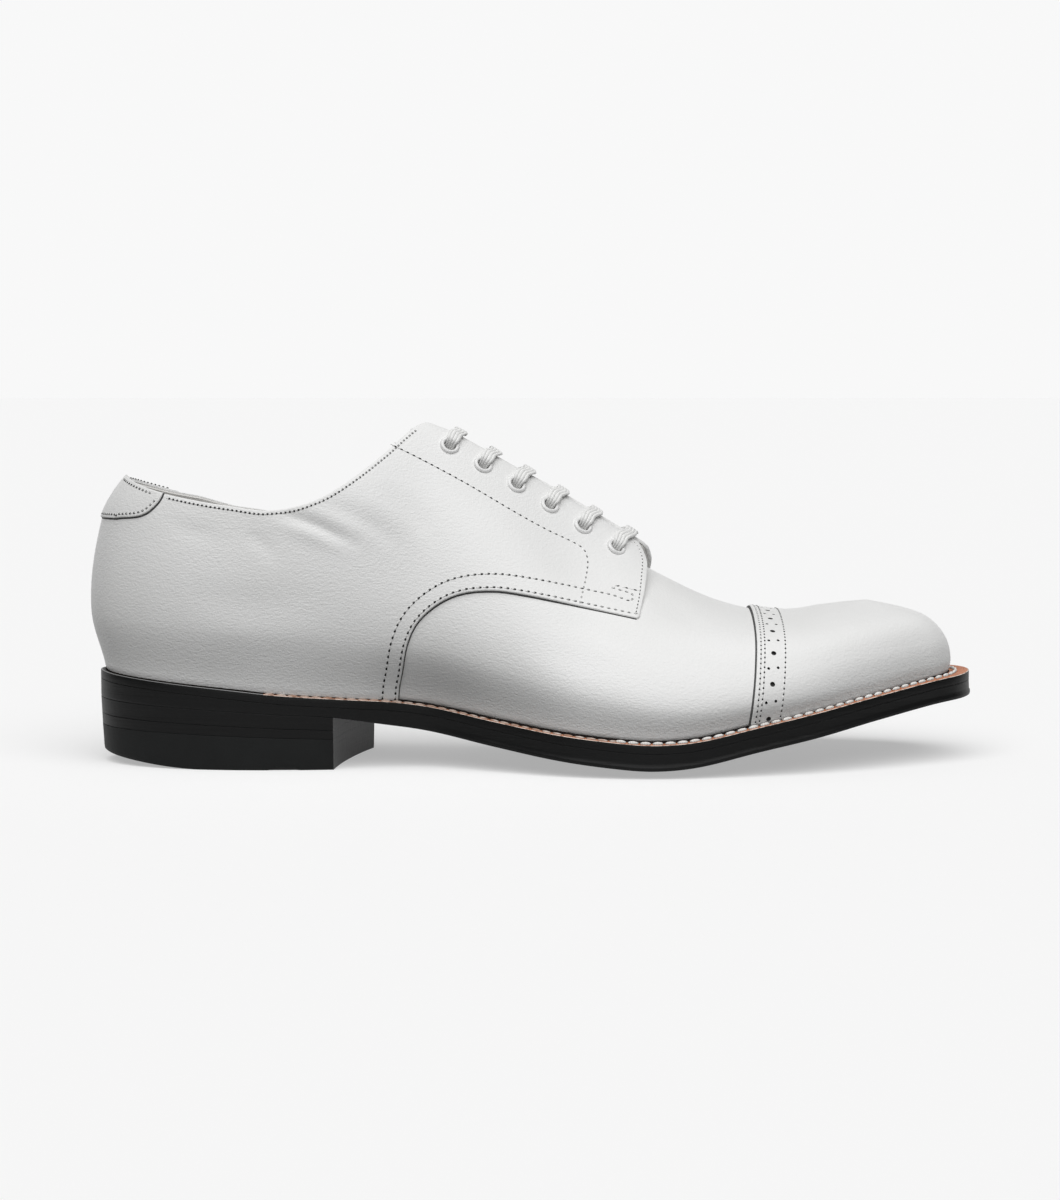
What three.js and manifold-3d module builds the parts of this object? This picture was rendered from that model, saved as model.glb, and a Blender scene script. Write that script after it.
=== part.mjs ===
// A right cap toe oxford, open laced, with a welted leather sole and a stacked heel.
// Millimetres, +Z up, +X to the toe, -Y to the outer (lateral) side.
// The last is a fan of sections: each runs from the lateral edge of the sole over a ridge point to
// the medial edge. Upper, toe cap, back tab and tongue are all cut between offsets of that last.
import * as THREE from 'three';
import { mergeVertices } from 'three/addons/utils/BufferGeometryUtils.js';
import Module from 'manifold-3d';

const wasm = await Module();
wasm.setup();

// Driving sizes of the last
const last_length = 292.3;
const ball_width = 94;
const upper_height = 116;
const seat_height = 31.7;
const facing_peak = 7.5;

// Leather
const vamp_wall = 1.6;
const quarter_step = 1.1;
const cap_thickness = 1.0;
const tongue_thickness = 2.0;
const insole_thickness = 2.5;
const gap = 0.3;

// Throat and lacing
const slot_front_width = 5;
const slot_top_width = 9;
const slot_start_at = 0.33;
const slot_end_at = 0.66;
const slot_floor_up = 0.455;
const lace_room = 3.0;
const lace_width = 3.1;
const lace_thickness = 1.5;
const lace_bend = 1.3;
const lace_clearance = 0.7;
const eyelet_count = 6;
const eyelet_first_at = 0.405;
const eyelet_last_at = 0.6;
const eyelet_drop = 6.6;
const eyelet_hole = 2.2;
const eyelet_barrel = 2.6;
const eyelet_flange = 3.5;
const eyelet_flange_rise = 0.7;
const eyelet_seat = 0.5;
const eyelet_sides = 8;

// Sole and heel
const welt_width = 5.5;
const welt_thickness = 3;
const sole_crown = 3;
const sole_bevel = 1.4;
const sole_edge_swell = 0.4;
const welt_start_at = 0.193;
const heel_breast_at = 0.271;
const heel_breast_skew = 12;
const heel_breast_hollow = 4.5;
const heel_joints = [0.75, 0.58];
const heel_taper = 1.0;
const heel_flat_length = 45;
const heel_rear_rise = 3.7;

// How finely the surfaces are drawn
const rows = 40;
const row_crowding = 0.3;
const steps = 8;
const far = 400;

// Rows of the last from the back of the heel to the tip of the toe.
// at: share of last_length. out: share of ball_width from the middle line. up: share of upper_height.
// low, mid, high: how far out the section stands at three heights, as a share of the way from the
// ridge to the sole's edge. peak: share of facing_peak. edge: share of welt_width.
const last_columns = [
  'ridge_at', 'ridge_out', 'ridge_up', 'lat_at', 'lat_out', 'med_at', 'med_out',
  'lat_low', 'lat_mid', 'lat_high', 'med_low', 'med_mid', 'med_high', 'peak', 'edge',
];
const last_rows = [
  [0.097, 0.000, 1.069, 0.000, 0.000, 0.000, 0.000, 1.17, 1.08, 0.75, 1.17, 1.08, 0.75, 0.0, 0.53],
  [0.107, 0.000, 1.069, 0.018, 0.144, 0.018, 0.144, 1.16, 1.07, 0.76, 1.16, 1.07, 0.76, 0.0, 0.53],
  [0.124, 0.000, 1.069, 0.066, 0.248, 0.066, 0.248, 1.15, 1.07, 0.77, 1.15, 1.07, 0.77, 0.0, 0.53],
  [0.155, 0.000, 1.069, 0.134, 0.301, 0.134, 0.301, 1.15, 1.06, 0.78, 1.15, 1.06, 0.78, 0.0, 0.53],
  [0.210, 0.000, 1.069, 0.210, 0.312, 0.210, 0.312, 1.14, 1.06, 0.80, 1.14, 1.06, 0.80, 0.0, 0.54],
  [0.295, 0.000, 1.043, 0.295, 0.285, 0.295, 0.266, 1.22, 1.13, 0.84, 1.27, 1.18, 0.88, 0.0, 0.58],
  [0.381, 0.011, 0.991, 0.381, 0.243, 0.381, 0.202, 1.38, 1.22, 0.78, 1.53, 1.42, 0.92, 0.0, 0.60],
  [0.466, 0.021, 0.875, 0.466, 0.346, 0.466, 0.245, 1.17, 1.00, 0.60, 1.33, 1.23, 0.78, 0.4, 0.75],
  [0.552, 0.032, 0.703, 0.552, 0.463, 0.552, 0.388, 1.05, 0.86, 0.50, 1.11, 0.96, 0.58, 1.0, 0.93],
  [0.637, 0.048, 0.576, 0.637, 0.502, 0.637, 0.489, 1.04, 0.88, 0.56, 1.05, 0.92, 0.60, 0.8, 1.00],
  [0.723, 0.064, 0.473, 0.723, 0.464, 0.723, 0.511, 1.04, 0.93, 0.69, 1.04, 0.94, 0.70, 0.0, 1.00],
  [0.802, 0.080, 0.433, 0.815, 0.372, 0.815, 0.492, 1.04, 0.97, 0.78, 1.04, 0.97, 0.78, 0.0, 1.08],
  [0.849, 0.091, 0.446, 0.890, 0.243, 0.890, 0.434, 1.03, 0.98, 0.80, 1.03, 0.98, 0.80, 0.0, 1.20],
  [0.880, 0.098, 0.455, 0.954, 0.098, 0.954, 0.346, 1.03, 0.98, 0.80, 1.03, 0.98, 0.80, 0.0, 1.38],
  [0.896, 0.103, 0.459, 0.988, 0.001, 0.988, 0.262, 1.02, 0.96, 0.75, 1.02, 0.96, 0.75, 0.0, 1.48],
  [0.904, 0.106, 0.460, 1.000, -0.130, 1.000, 0.130, 1.02, 0.95, 0.71, 1.02, 0.95, 0.71, 0.0, 1.50],
];
const section_heights = { low: 0.22, mid: 0.5, high: 0.78 };

// The sole from the side. at: share of last_length. top: the welt's top, under: the outsole's lower
// edge, both as shares of seat_height. crown: share of sole_crown by which its middle hangs lower.
const sole_rows = [
  { at: -0.010, top: 1.000, under: 0.707, crown: 0.0 },
  { at: 0.073, top: 0.927, under: 0.669, crown: 0.0 },
  { at: 0.158, top: 0.852, under: 0.625, crown: 0.0 },
  { at: 0.203, top: 0.808, under: 0.599, crown: 0.0 },
  { at: 0.271, top: 0.763, under: 0.562, crown: 0.0 },
  { at: 0.335, top: 0.722, under: 0.473, crown: 0.0 },
  { at: 0.386, top: 0.659, under: 0.397, crown: 0.3 },
  { at: 0.454, top: 0.549, under: 0.281, crown: 0.7 },
  { at: 0.523, top: 0.451, under: 0.180, crown: 0.9 },
  { at: 0.590, top: 0.385, under: 0.110, crown: 1.0 },
  { at: 0.640, top: 0.356, under: 0.082, crown: 1.0 },
  { at: 0.691, top: 0.388, under: 0.120, crown: 1.0 },
  { at: 0.759, top: 0.517, under: 0.256, crown: 0.8 },
  { at: 0.828, top: 0.644, under: 0.379, crown: 0.6 },
  { at: 0.901, top: 0.782, under: 0.524, crown: 0.4 },
  { at: 0.979, top: 0.905, under: 0.650, crown: 0.2 },
  { at: 1.030, top: 0.956, under: 0.691, crown: 0.0 },
];

// Edges as seen from the side. at: share of last_length. up: share of upper_height.
const collar_edge = [
  { at: -0.200, up: 0.862 }, { at: 0.006, up: 0.852 }, { at: 0.024, up: 0.836 },
  { at: 0.045, up: 0.812 }, { at: 0.073, up: 0.790 }, { at: 0.122, up: 0.770 },
  { at: 0.160, up: 0.762 }, { at: 0.195, up: 0.754 }, { at: 0.230, up: 0.765 },
  { at: 0.262, up: 0.793 }, { at: 0.296, up: 0.846 }, { at: 0.330, up: 0.914 },
  { at: 0.350, up: 0.960 }, { at: 0.366, up: 0.992 }, { at: 0.380, up: 1.010 },
  { at: 0.388, up: 1.060 },
];
const quarter_seam = [
  { at: 0.343, up: 0.000 }, { at: 0.347, up: 0.210 }, { at: 0.352, up: 0.283 },
  { at: 0.359, up: 0.370 }, { at: 0.372, up: 0.435 }, { at: 0.397, up: 0.488 },
  { at: 0.425, up: 0.516 }, { at: 0.460, up: 0.522 }, { at: 0.494, up: 0.510 },
  { at: 0.529, up: 0.491 }, { at: 0.567, up: 0.469 }, { at: 0.625, up: 0.437 },
];
const facing_front = [
  { at: 0.633, up: 0.509 }, { at: 0.637, up: 0.577 }, { at: 0.634, up: 0.612 },
  { at: 0.627, up: 0.645 }, { at: 0.618, up: 0.690 },
];
const cap_seam = [
  { at: 0.746, up: 0.000 }, { at: 0.750, up: 0.140 }, { at: 0.758, up: 0.300 },
  { at: 0.763, up: 0.470 }, { at: 0.763, up: 0.700 },
];
const tab_edge = [
  { at: -0.200, up: 0.700 }, { at: -0.006, up: 0.712 }, { at: 0.020, up: 0.716 },
  { at: 0.045, up: 0.724 }, { at: 0.060, up: 0.747 }, { at: 0.072, up: 0.790 },
  { at: 0.085, up: 0.900 },
];
const vamp_end_at = 0.614;
const tongue_outline = [
  { at: 0.613, up: 0.420 }, { at: 0.613, up: 0.900 }, { at: 0.420, up: 1.200 },
  { at: 0.362, up: 1.200 }, { at: 0.362, up: 0.940 }, { at: 0.400, up: 0.800 },
  { at: 0.500, up: 0.640 }, { at: 0.560, up: 0.530 },
];

// Where shares become millimetres: x = 0 lies half way along the last
function lengthAt(share) {
  return (share - 0.5) * last_length;
}

function sidePoint(point) {
  return new THREE.Vector2(lengthAt(point.at), point.up * upper_height);
}

// A smooth curve through values at rising places, held level beyond its ends
function smoothCurve(places, values) {
  const last = places.length - 1;
  const slopes = places.map((place, i) => {
    const before = Math.max(i - 1, 0);
    const after = Math.min(i + 1, last);
    return (values[after] - values[before]) / (places[after] - places[before]);
  });
  return (place) => {
    if (place <= places[0]) return values[0];
    if (place >= places[last]) return values[last];
    let i = 0;
    while (place > places[i + 1]) i += 1;
    const span = places[i + 1] - places[i];
    const s = (place - places[i]) / span;
    const ease = s * s * (3 - 2 * s);
    const bend = s * (1 - s) * span * (slopes[i] * (1 - s) - slopes[i + 1] * s);
    return values[i] + (values[i + 1] - values[i]) * ease + bend;
  };
}

function soleCurve(column, size) {
  return smoothCurve(sole_rows.map((row) => lengthAt(row.at)), sole_rows.map((row) => row[column] * size));
}
const weltTop = soleCurve('top', seat_height);
const soleUnder = soleCurve('under', seat_height);
const soleCrown = soleCurve('crown', sole_crown);

// The rows of the last in millimetres, one record for each side of each row
const sides = { lateral: -1, medial: 1 };
function lastRecord(row, side) {
  const value = Object.fromEntries(last_columns.map((name, i) => [name, row[i]]));
  const short = side === 'lateral' ? 'lat' : 'med';
  return {
    edge_x: lengthAt(value[`${short}_at`]),
    edge_y: sides[side] * value[`${short}_out`] * ball_width,
    ridge_x: lengthAt(value.ridge_at),
    ridge_y: value.ridge_out * ball_width,
    ridge_z: value.ridge_up * upper_height,
    low: value[`${short}_low`],
    mid: value[`${short}_mid`],
    high: value[`${short}_high`],
    peak: value.peak * facing_peak,
    edge: value.edge * welt_width,
  };
}
const records = {
  lateral: last_rows.map((row) => lastRecord(row, 'lateral')),
  medial: last_rows.map((row) => lastRecord(row, 'medial')),
};
const last_row = last_rows.length - 1;
const other = { lateral: 'medial', medial: 'lateral' };

// Beyond either end the rows go on round to the other side
function recordAt(side, index) {
  if (index < 0) return records[other[side]][-index];
  if (index > last_row) return records[other[side]][2 * last_row - index];
  return records[side][index];
}
const knots = [0];
for (let i = 1; i <= last_row; i += 1) {
  const stretch = ['lateral', 'medial'].map((side) => {
    const a = recordAt(side, i - 1);
    const b = recordAt(side, i);
    return Math.hypot(b.edge_x - a.edge_x, b.edge_y - a.edge_y);
  });
  knots.push(knots[i - 1] + (stretch[0] + stretch[1]) / 2);
}
const path_length = knots[last_row];

// The drawn rows, closer together round the heel and the toe
function rowDistance(i) {
  const share = i / rows;
  return path_length * (share - (row_crowding * Math.sin(2 * Math.PI * share)) / (2 * Math.PI));
}
function knotAt(index) {
  if (index < 0) return -knots[-index];
  if (index > last_row) return 2 * path_length - knots[2 * last_row - index];
  return knots[index];
}

// One row of the last at any distance along it
function lastAt(side, distance) {
  let i = 0;
  while (i < last_row - 1 && distance > knots[i + 1]) i += 1;
  const around = [i - 1, i, i + 1, i + 2];
  const [k0, k1, k2, k3] = around.map(knotAt);
  const four = around.map((index) => recordAt(side, index));
  const span = k2 - k1;
  const s = (distance - k1) / span;
  const ease = s * s * (3 - 2 * s);
  const result = {};
  for (const name of Object.keys(four[0])) {
    const [v0, v1, v2, v3] = four.map((record) => record[name]);
    const slope1 = (v2 - v0) / (k2 - k0);
    const slope2 = (v3 - v1) / (k3 - k1);
    const bend = s * (1 - s) * span * (slope1 * (1 - s) - slope2 * s);
    result[name] = v1 + (v2 - v1) * ease + bend;
  }
  return result;
}

// The points that a section passes through, from the sole's edge up to the ridge
function sectionPoints(row, peaked) {
  const foot = new THREE.Vector3(row.edge_x, row.edge_y, weltTop(row.edge_x));
  const ridge = new THREE.Vector3(row.ridge_x, row.ridge_y, row.ridge_z);
  const points = [foot];
  for (const name of ['low', 'mid', 'high']) {
    const point = ridge.clone().lerp(foot, row[name]);
    point.z = foot.z + (ridge.z - foot.z) * section_heights[name];
    points.push(point);
  }
  if (peaked) ridge.z += row.peak;
  points.push(ridge);
  return points;
}

// Both halves of the section at a distance along the last, as points from edge to edge
function section(distance, peaked) {
  const halves = ['lateral', 'medial'].map((side) => sectionPoints(lastAt(side, distance), peaked));
  const through = [...halves[0], ...halves[1].slice(0, -1).reverse()];
  const middle = halves[0].length - 1;
  const end = through.length - 1;
  const before = through[0].clone().multiplyScalar(2).sub(through[1]);
  const after = through[end].clone().multiplyScalar(2).sub(through[end - 1]);
  before.setX(through[0].x).setY(through[0].y);
  after.setX(through[end].x).setY(through[end].y);
  const all = [before, ...through, after];
  const time = [0];
  for (let i = 1; i < all.length; i += 1) {
    time.push(time[i - 1] + Math.sqrt(all[i].distanceTo(all[i - 1])));
  }
  const tangent = (i) => {
    const back = all[i].clone().sub(all[i - 1]).divideScalar(time[i] - time[i - 1]);
    const front = all[i + 1].clone().sub(all[i]).divideScalar(time[i + 1] - time[i]);
    const share = (time[i] - time[i - 1]) / (time[i + 1] - time[i - 1]);
    return back.lerp(front, share);
  };
  const pointAt = (t) => {
    let i = 1;
    while (i < all.length - 3 && t > time[i + 1]) i += 1;
    const span = time[i + 1] - time[i];
    const s = (t - time[i]) / span;
    const point = all[i].clone().lerp(all[i + 1], s * s * (3 - 2 * s));
    point.addScaledVector(tangent(i), span * s * (1 - s) * (1 - s));
    point.addScaledVector(tangent(i + 1), -span * s * s * (1 - s));
    return point;
  };
  const starts = { lateral: time[1], ridge: time[middle + 1], medial: time[end + 1] };
  return (side, up) => pointAt(starts[side] + (starts.ridge - starts[side]) * up);
}

// The vertices of the last, with the two sides sharing the ridge and both end rows
const across = 2 * steps;
function vertexId(i, j) {
  const folded = (i === 0 || i === rows) && j > steps ? across - j : j;
  return i * (across + 1) + folded;
}

function lastSurface(peaked) {
  const points = [];
  for (let i = 0; i <= rows; i += 1) {
    const pointAt = section(rowDistance(i), peaked);
    for (let j = 0; j <= across; j += 1) {
      const side = j <= steps ? 'lateral' : 'medial';
      points.push(pointAt(side, j <= steps ? j / steps : (across - j) / steps));
    }
  }
  const faces = [];
  for (let i = 0; i < rows; i += 1) {
    for (let j = 0; j < across; j += 1) {
      const [a, b, c, d] = [vertexId(i, j), vertexId(i + 1, j), vertexId(i + 1, j + 1), vertexId(i, j + 1)];
      faces.push([a, b, c], [a, c, d]);
    }
  }
  const real = faces.filter(([a, b, c]) => a !== b && b !== c && a !== c);
  const normals = points.map(() => new THREE.Vector3());
  for (const [a, b, c] of real) {
    const u = points[b].clone().sub(points[a]);
    const normal = u.cross(points[c].clone().sub(points[a]));
    for (const id of [a, b, c]) normals[id].add(normal);
  }
  for (let i = 0; i <= rows; i += 1) {
    for (const j of [0, across]) normals[vertexId(i, j)].setZ(0);
  }
  normals.forEach((normal) => normal.normalize());
  return { points, faces: real, normals };
}
const surfaces = { plain: lastSurface(false), peaked: lastSurface(true) };

function solidFrom(points, faces) {
  const vertProperties = new Float32Array(points.flatMap((point) => [point.x, point.y, point.z]));
  const used = faces.filter(([a, b, c]) => a !== b && b !== c && a !== c);
  const geometry = new THREE.BufferGeometry();
  geometry.setAttribute('position', new THREE.BufferAttribute(vertProperties, 3));
  geometry.setIndex(used.flat());
  return solidFromGeometry(geometry);
}

function solidFromGeometry(source) {
  const geometry = source.clone();
  geometry.deleteAttribute('normal');
  geometry.deleteAttribute('uv');
  const merged = mergeVertices(geometry, 1e-4);
  const index = Array.from(merged.index.array);
  const triangles = [];
  for (let i = 0; i < index.length; i += 3) {
    const [a, b, c] = index.slice(i, i + 3);
    if (a !== b && b !== c && a !== c) triangles.push(a, b, c);
  }
  return new wasm.Manifold(new wasm.Mesh({
    numProp: 3,
    vertProperties: new Float32Array(merged.attributes.position.array),
    triVerts: new Uint32Array(triangles),
  }));
}

// The filled last, grown or shrunk by an offset and carried straight down below the sole
function form(kind, offset) {
  const { points, faces, normals } = surfaces[kind];
  const shell = points.map((point, id) => point.clone().addScaledVector(normals[id], offset));
  const count = shell.length;
  const bottom = -seat_height;
  for (let id = 0; id < count; id += 1) shell.push(shell[id].clone().setZ(bottom));
  const closed = [...faces];
  for (let i = 0; i < rows; i += 1) {
    const [a, b] = [vertexId(i, 0), vertexId(i + 1, 0)];
    const [c, d] = [vertexId(i, across), vertexId(i + 1, across)];
    closed.push([a, a + count, b + count], [a, b + count, b]);
    closed.push([c, d + count, c + count], [c, d, d + count]);
    closed.push([a + count, c + count, d + count], [a + count, d + count, b + count]);
  }
  return solidFrom(shell, closed);
}

// A straight prism from an outline in side view, right across the shoe
function sidePrism(outline) {
  const shape = new THREE.Shape(outline);
  const geometry = new THREE.ExtrudeGeometry(shape, { depth: far, bevelEnabled: false });
  geometry.rotateX(Math.PI / 2);
  geometry.translate(0, far / 2, 0);
  return solidFromGeometry(geometry);
}

// A straight prism from an outline in plan
function planPrism(outline, bottom, top) {
  const shape = new THREE.Shape(outline);
  const geometry = new THREE.ExtrudeGeometry(shape, { depth: top - bottom, bevelEnabled: false });
  geometry.translate(0, 0, bottom);
  return solidFromGeometry(geometry);
}

// The curve through side view points, drawn with a few steps between each two
function smoothOutline(table, between = 2) {
  const curve = new THREE.SplineCurve(table.map(sidePoint));
  return curve.getPoints((table.length - 1) * between);
}

function point2(x, y) {
  return new THREE.Vector2(x, y);
}

// Plan position of the sole's edge, a distance out from the upper's lower edge
function edgePoint(side, distance, out) {
  const row = lastAt(side, distance);
  const step = path_length / rows / 4;
  const ahead = planPoint(side, distance + step);
  const behind = planPoint(side, distance - step);
  const along = ahead.sub(behind).normalize();
  const turn = sides[side];
  return point2(row.edge_x - turn * along.y * out, row.edge_y + turn * along.x * out);
}

function planPoint(side, distance) {
  if (distance < 0) return planPoint(other[side], -distance);
  if (distance > path_length) return planPoint(other[side], 2 * path_length - distance);
  const row = lastAt(side, distance);
  return point2(row.edge_x, row.edge_y);
}

// A flat layer of the sole. Each loop has its reach out from the upper's lower edge and its height.
function slab(loops, columns = 2, crown = () => 0) {
  const points = [];
  const faces = [];
  const add = (x, y, z) => points.push(new THREE.Vector3(x, y, z)) - 1;
  const rings = loops.map((loop) => ['lateral', 'medial'].map((side) => {
    const ring = [];
    for (let i = 0; i <= rows; i += 1) {
      const distance = rowDistance(i);
      const plan = edgePoint(side, distance, loop.out(lastAt(side, distance)));
      ring.push(add(plan.x, plan.y, loop.height(plan.x)));
    }
    return ring;
  }));
  for (let l = 0; l < rings.length - 1; l += 1) {
    for (let i = 0; i < rows; i += 1) {
      const [upper, lower] = [rings[l], rings[l + 1]];
      faces.push([upper[0][i], lower[0][i], lower[0][i + 1]], [upper[0][i], lower[0][i + 1], upper[0][i + 1]]);
      faces.push([upper[1][i], lower[1][i + 1], lower[1][i]], [upper[1][i], upper[1][i + 1], lower[1][i + 1]]);
    }
  }
  for (const end of [0, rings.length - 1]) {
    const [lateral, medial] = rings[end];
    const grid = [];
    for (let i = 0; i <= rows; i += 1) {
      const line = [lateral[i]];
      for (let k = 1; k < columns; k += 1) {
        const point = points[lateral[i]].clone().lerp(points[medial[i]], k / columns);
        const v = (2 * k) / columns - 1;
        const width = points[lateral[i]].distanceTo(points[medial[i]]);
        const sink = end === 0 ? 0 : crown(point.x) * (1 - v * v) * Math.min(1, width / (ball_width / 2));
        line.push(width < 1e-6 ? lateral[i] : add(point.x, point.y, loops[end].height(point.x) - sink));
      }
      line.push(medial[i]);
      grid.push(line);
    }
    for (let i = 0; i < rows; i += 1) {
      for (let k = 0; k < columns; k += 1) {
        const [a, b, c, d] = [grid[i][k], grid[i + 1][k], grid[i + 1][k + 1], grid[i][k + 1]];
        if (end === 0) faces.push([a, b, c], [a, c, d]);
        else faces.push([a, c, b], [a, d, c]);
      }
    }
  }
  return solidFrom(points, faces);
}

// Sole, from the welt down to the floor
const outsoleTop = (x) => weltTop(x) - welt_thickness - gap;
const floor_cut = sidePrism([point2(-far, -far), point2(far, -far), point2(far, 0), point2(-far, 0)]);
const outsole = slab([
  { out: (row) => row.edge, height: outsoleTop },
  { out: (row) => row.edge + sole_edge_swell, height: (x) => soleUnder(x) + sole_bevel },
  { out: (row) => row.edge - sole_bevel / 2, height: soleUnder },
], 4, soleCrown).subtract(floor_cut);

const ring = slab([
  { out: (row) => row.edge, height: weltTop },
  { out: (row) => row.edge, height: (x) => weltTop(x) - welt_thickness },
]).subtract(slab([
  { out: () => -vamp_wall, height: (x) => weltTop(x) + welt_thickness },
  { out: () => -vamp_wall, height: (x) => weltTop(x) - 2 * welt_thickness },
]));
const welt_start = lengthAt(welt_start_at);
function behind(x) {
  return sidePrism([point2(-far, -far), point2(x, -far), point2(x, far), point2(-far, far)]);
}
const welt = ring.subtract(behind(welt_start + gap / 2));
const heel_rand = ring.intersect(behind(welt_start - gap / 2));

const insole = slab([
  { out: () => -vamp_wall - gap, height: (x) => weltTop(x) + gap + insole_thickness },
  { out: () => -vamp_wall - gap, height: (x) => weltTop(x) - welt_thickness },
]);

// Heel: lifts and top piece, cut by one hollow breast
function heelBreast() {
  const breast = lengthAt(heel_breast_at);
  const half = ball_width / 2;
  const outline = [point2(-far, half), point2(-far, -half)];
  const arc_steps = 12;
  for (let i = 0; i <= arc_steps; i += 1) {
    const v = (2 * i) / arc_steps - 1;
    const hollow = heel_breast_hollow * (1 - v * v);
    const skew = heel_breast_skew * (v + 1) / 2;
    outline.push(point2(breast + skew - hollow, v * half));
  }
  return planPrism(outline, -far, far);
}
const heel_breast = heelBreast();
const heelTop = (x) => soleUnder(x) - gap;
const heelJoint = (share) => (x) => heelTop(x) * share;
function heelBottom(x) {
  const start = lengthAt(heel_breast_at) - heel_flat_length;
  const reach = start - lengthAt(0);
  return heel_rear_rise * Math.max(0, (start - x) / reach) ** 1.5;
}
function heelPiece(top, bottom, taper_top, taper_bottom) {
  const block = slab([
    { out: (row) => row.edge - taper_top * heel_taper, height: top },
    { out: (row) => row.edge - taper_bottom * heel_taper, height: bottom },
  ]);
  return block.intersect(heel_breast);
}
const [upper_joint, lower_joint] = heel_joints;
const heel_lift_1 = heelPiece(heelTop, heelJoint(upper_joint), 0, 1 - upper_joint);
const heel_lift_2 = heelPiece(
  (x) => heelJoint(upper_joint)(x) - gap, heelJoint(lower_joint), 1 - upper_joint, 1 - lower_joint,
);
const heel_top_piece = heelPiece((x) => heelJoint(lower_joint)(x) - gap, heelBottom, 1 - lower_joint, 1);

// Regions of the upper in side view
function weltCut() {
  const start = lengthAt(-0.2);
  const end = lengthAt(1.2);
  const outline = [point2(start, -far)];
  const cut_steps = 36;
  for (let i = 0; i <= cut_steps; i += 1) {
    const x = start + ((end - start) * i) / cut_steps;
    outline.push(point2(x, weltTop(x) + gap));
  }
  outline.push(point2(end, -far));
  return sidePrism(outline);
}
const below_welt = weltCut();
const collar_points = smoothOutline(collar_edge);
const above_collar = sidePrism([
  ...collar_points, point2(collar_points.at(-1).x, far), point2(collar_points[0].x, far),
]);
const seam_points = smoothOutline(quarter_seam);
const front_points = smoothOutline(facing_front);
const quarter_region = sidePrism([
  point2(-far, 0), ...seam_points, ...front_points, point2(front_points.at(-1).x, far), point2(-far, far),
]);

// The throat: a slot along the ridge, narrow in front and wider at the collar
function throatSlot(front) {
  const outline = [];
  const slot_steps = 10;
  const start = lengthAt(slot_start_at);
  const half = [];
  for (let i = 0; i <= slot_steps; i += 1) {
    const x = start + ((front - start) * i) / slot_steps;
    const share = (x - start) / (lengthAt(vamp_end_at) - start);
    half.push({ x, y: ridgeAt(x).y, w: (slot_top_width + (slot_front_width - slot_top_width) * share) / 2 });
  }
  half.forEach(({ x, y, w }) => outline.push(point2(x, y - w)));
  half.reverse().forEach(({ x, y, w }) => outline.push(point2(x, y + w)));
  return planPrism(outline, slot_floor_up * upper_height, far);
}

// Distance along the last at which its ridge has a given x, and that ridge point
function distanceAt(x) {
  let [low, high] = [0, path_length];
  for (let i = 0; i < 40; i += 1) {
    const middle = (low + high) / 2;
    if (lastAt('lateral', middle).ridge_x < x) low = middle;
    else high = middle;
  }
  return (low + high) / 2;
}

function ridgeAt(x) {
  const row = lastAt('lateral', distanceAt(x));
  return new THREE.Vector3(row.ridge_x, row.ridge_y, row.ridge_z + row.peak);
}

const vamp_end = lengthAt(vamp_end_at);
const behind_vamp = behind(vamp_end);
const quarters = form('peaked', quarter_step).intersect(quarter_region)
  .subtract(throatSlot(lengthAt(slot_end_at)));
const hollow = form('plain', -vamp_wall).subtract(behind_vamp)
  .add(form('peaked', -vamp_wall).intersect(behind_vamp));
const shell = form('plain', 0).add(quarters).subtract(hollow)
  .subtract(throatSlot(vamp_end)).subtract(above_collar).subtract(below_welt);

// Eyelets: a row on each facing, at one depth below its edge
function eyeletPlace(side, index) {
  const share = (index - 1) / (eyelet_count - 1);
  const x = lengthAt(eyelet_first_at + (eyelet_last_at - eyelet_first_at) * share);
  const distance = distanceAt(x);
  const height = ridgeAt(x).z - eyelet_drop;
  const pointAt = section(distance, true);
  let [low, high] = [0, 1];
  for (let i = 0; i < 40; i += 1) {
    const middle = (low + high) / 2;
    if (pointAt(side, middle).z < height) low = middle;
    else high = middle;
  }
  const point = pointAt(side, low);
  const along = ridgeAt(x + lace_width).sub(ridgeAt(x - lace_width)).normalize();
  const up = pointAt(side, low + 0.02).sub(pointAt(side, low - 0.02)).normalize();
  const normal = along.clone().cross(up).normalize();
  if (normal.z < 0) normal.negate();
  up.crossVectors(normal, along).normalize();
  if (up.z < 0) up.negate();
  return { center: point.addScaledVector(normal, quarter_step), normal, along, up };
}
const places = {};
for (const side of Object.keys(sides)) {
  places[side] = [];
  for (let index = 1; index <= eyelet_count; index += 1) places[side].push(eyeletPlace(side, index));
}

function standOn(geometry, place) {
  const basis = new THREE.Matrix4().makeBasis(place.along, place.normal, place.along.clone().cross(place.normal));
  geometry.applyMatrix4(basis.setPosition(place.center));
  return geometry;
}
const quarter_wall = vamp_wall + quarter_step;
let upper = shell;
for (const place of Object.values(places).flat()) {
  const hole = new THREE.CylinderGeometry(
    eyelet_barrel + gap, eyelet_barrel + gap, 4 * quarter_wall, eyelet_sides,
  );
  upper = upper.subtract(solidFromGeometry(standOn(hole, place)));
}

function eyelet(place) {
  const foot = -quarter_wall;
  const profile = [
    point2(eyelet_hole, foot), point2(eyelet_barrel, foot), point2(eyelet_barrel, eyelet_seat),
    point2(eyelet_flange, eyelet_seat), point2(eyelet_hole + gap, eyelet_seat + eyelet_flange_rise),
    point2(eyelet_hole, foot),
  ];
  return solidFromGeometry(standOn(new THREE.LatheGeometry(profile, eyelet_sides), place));
}

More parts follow.
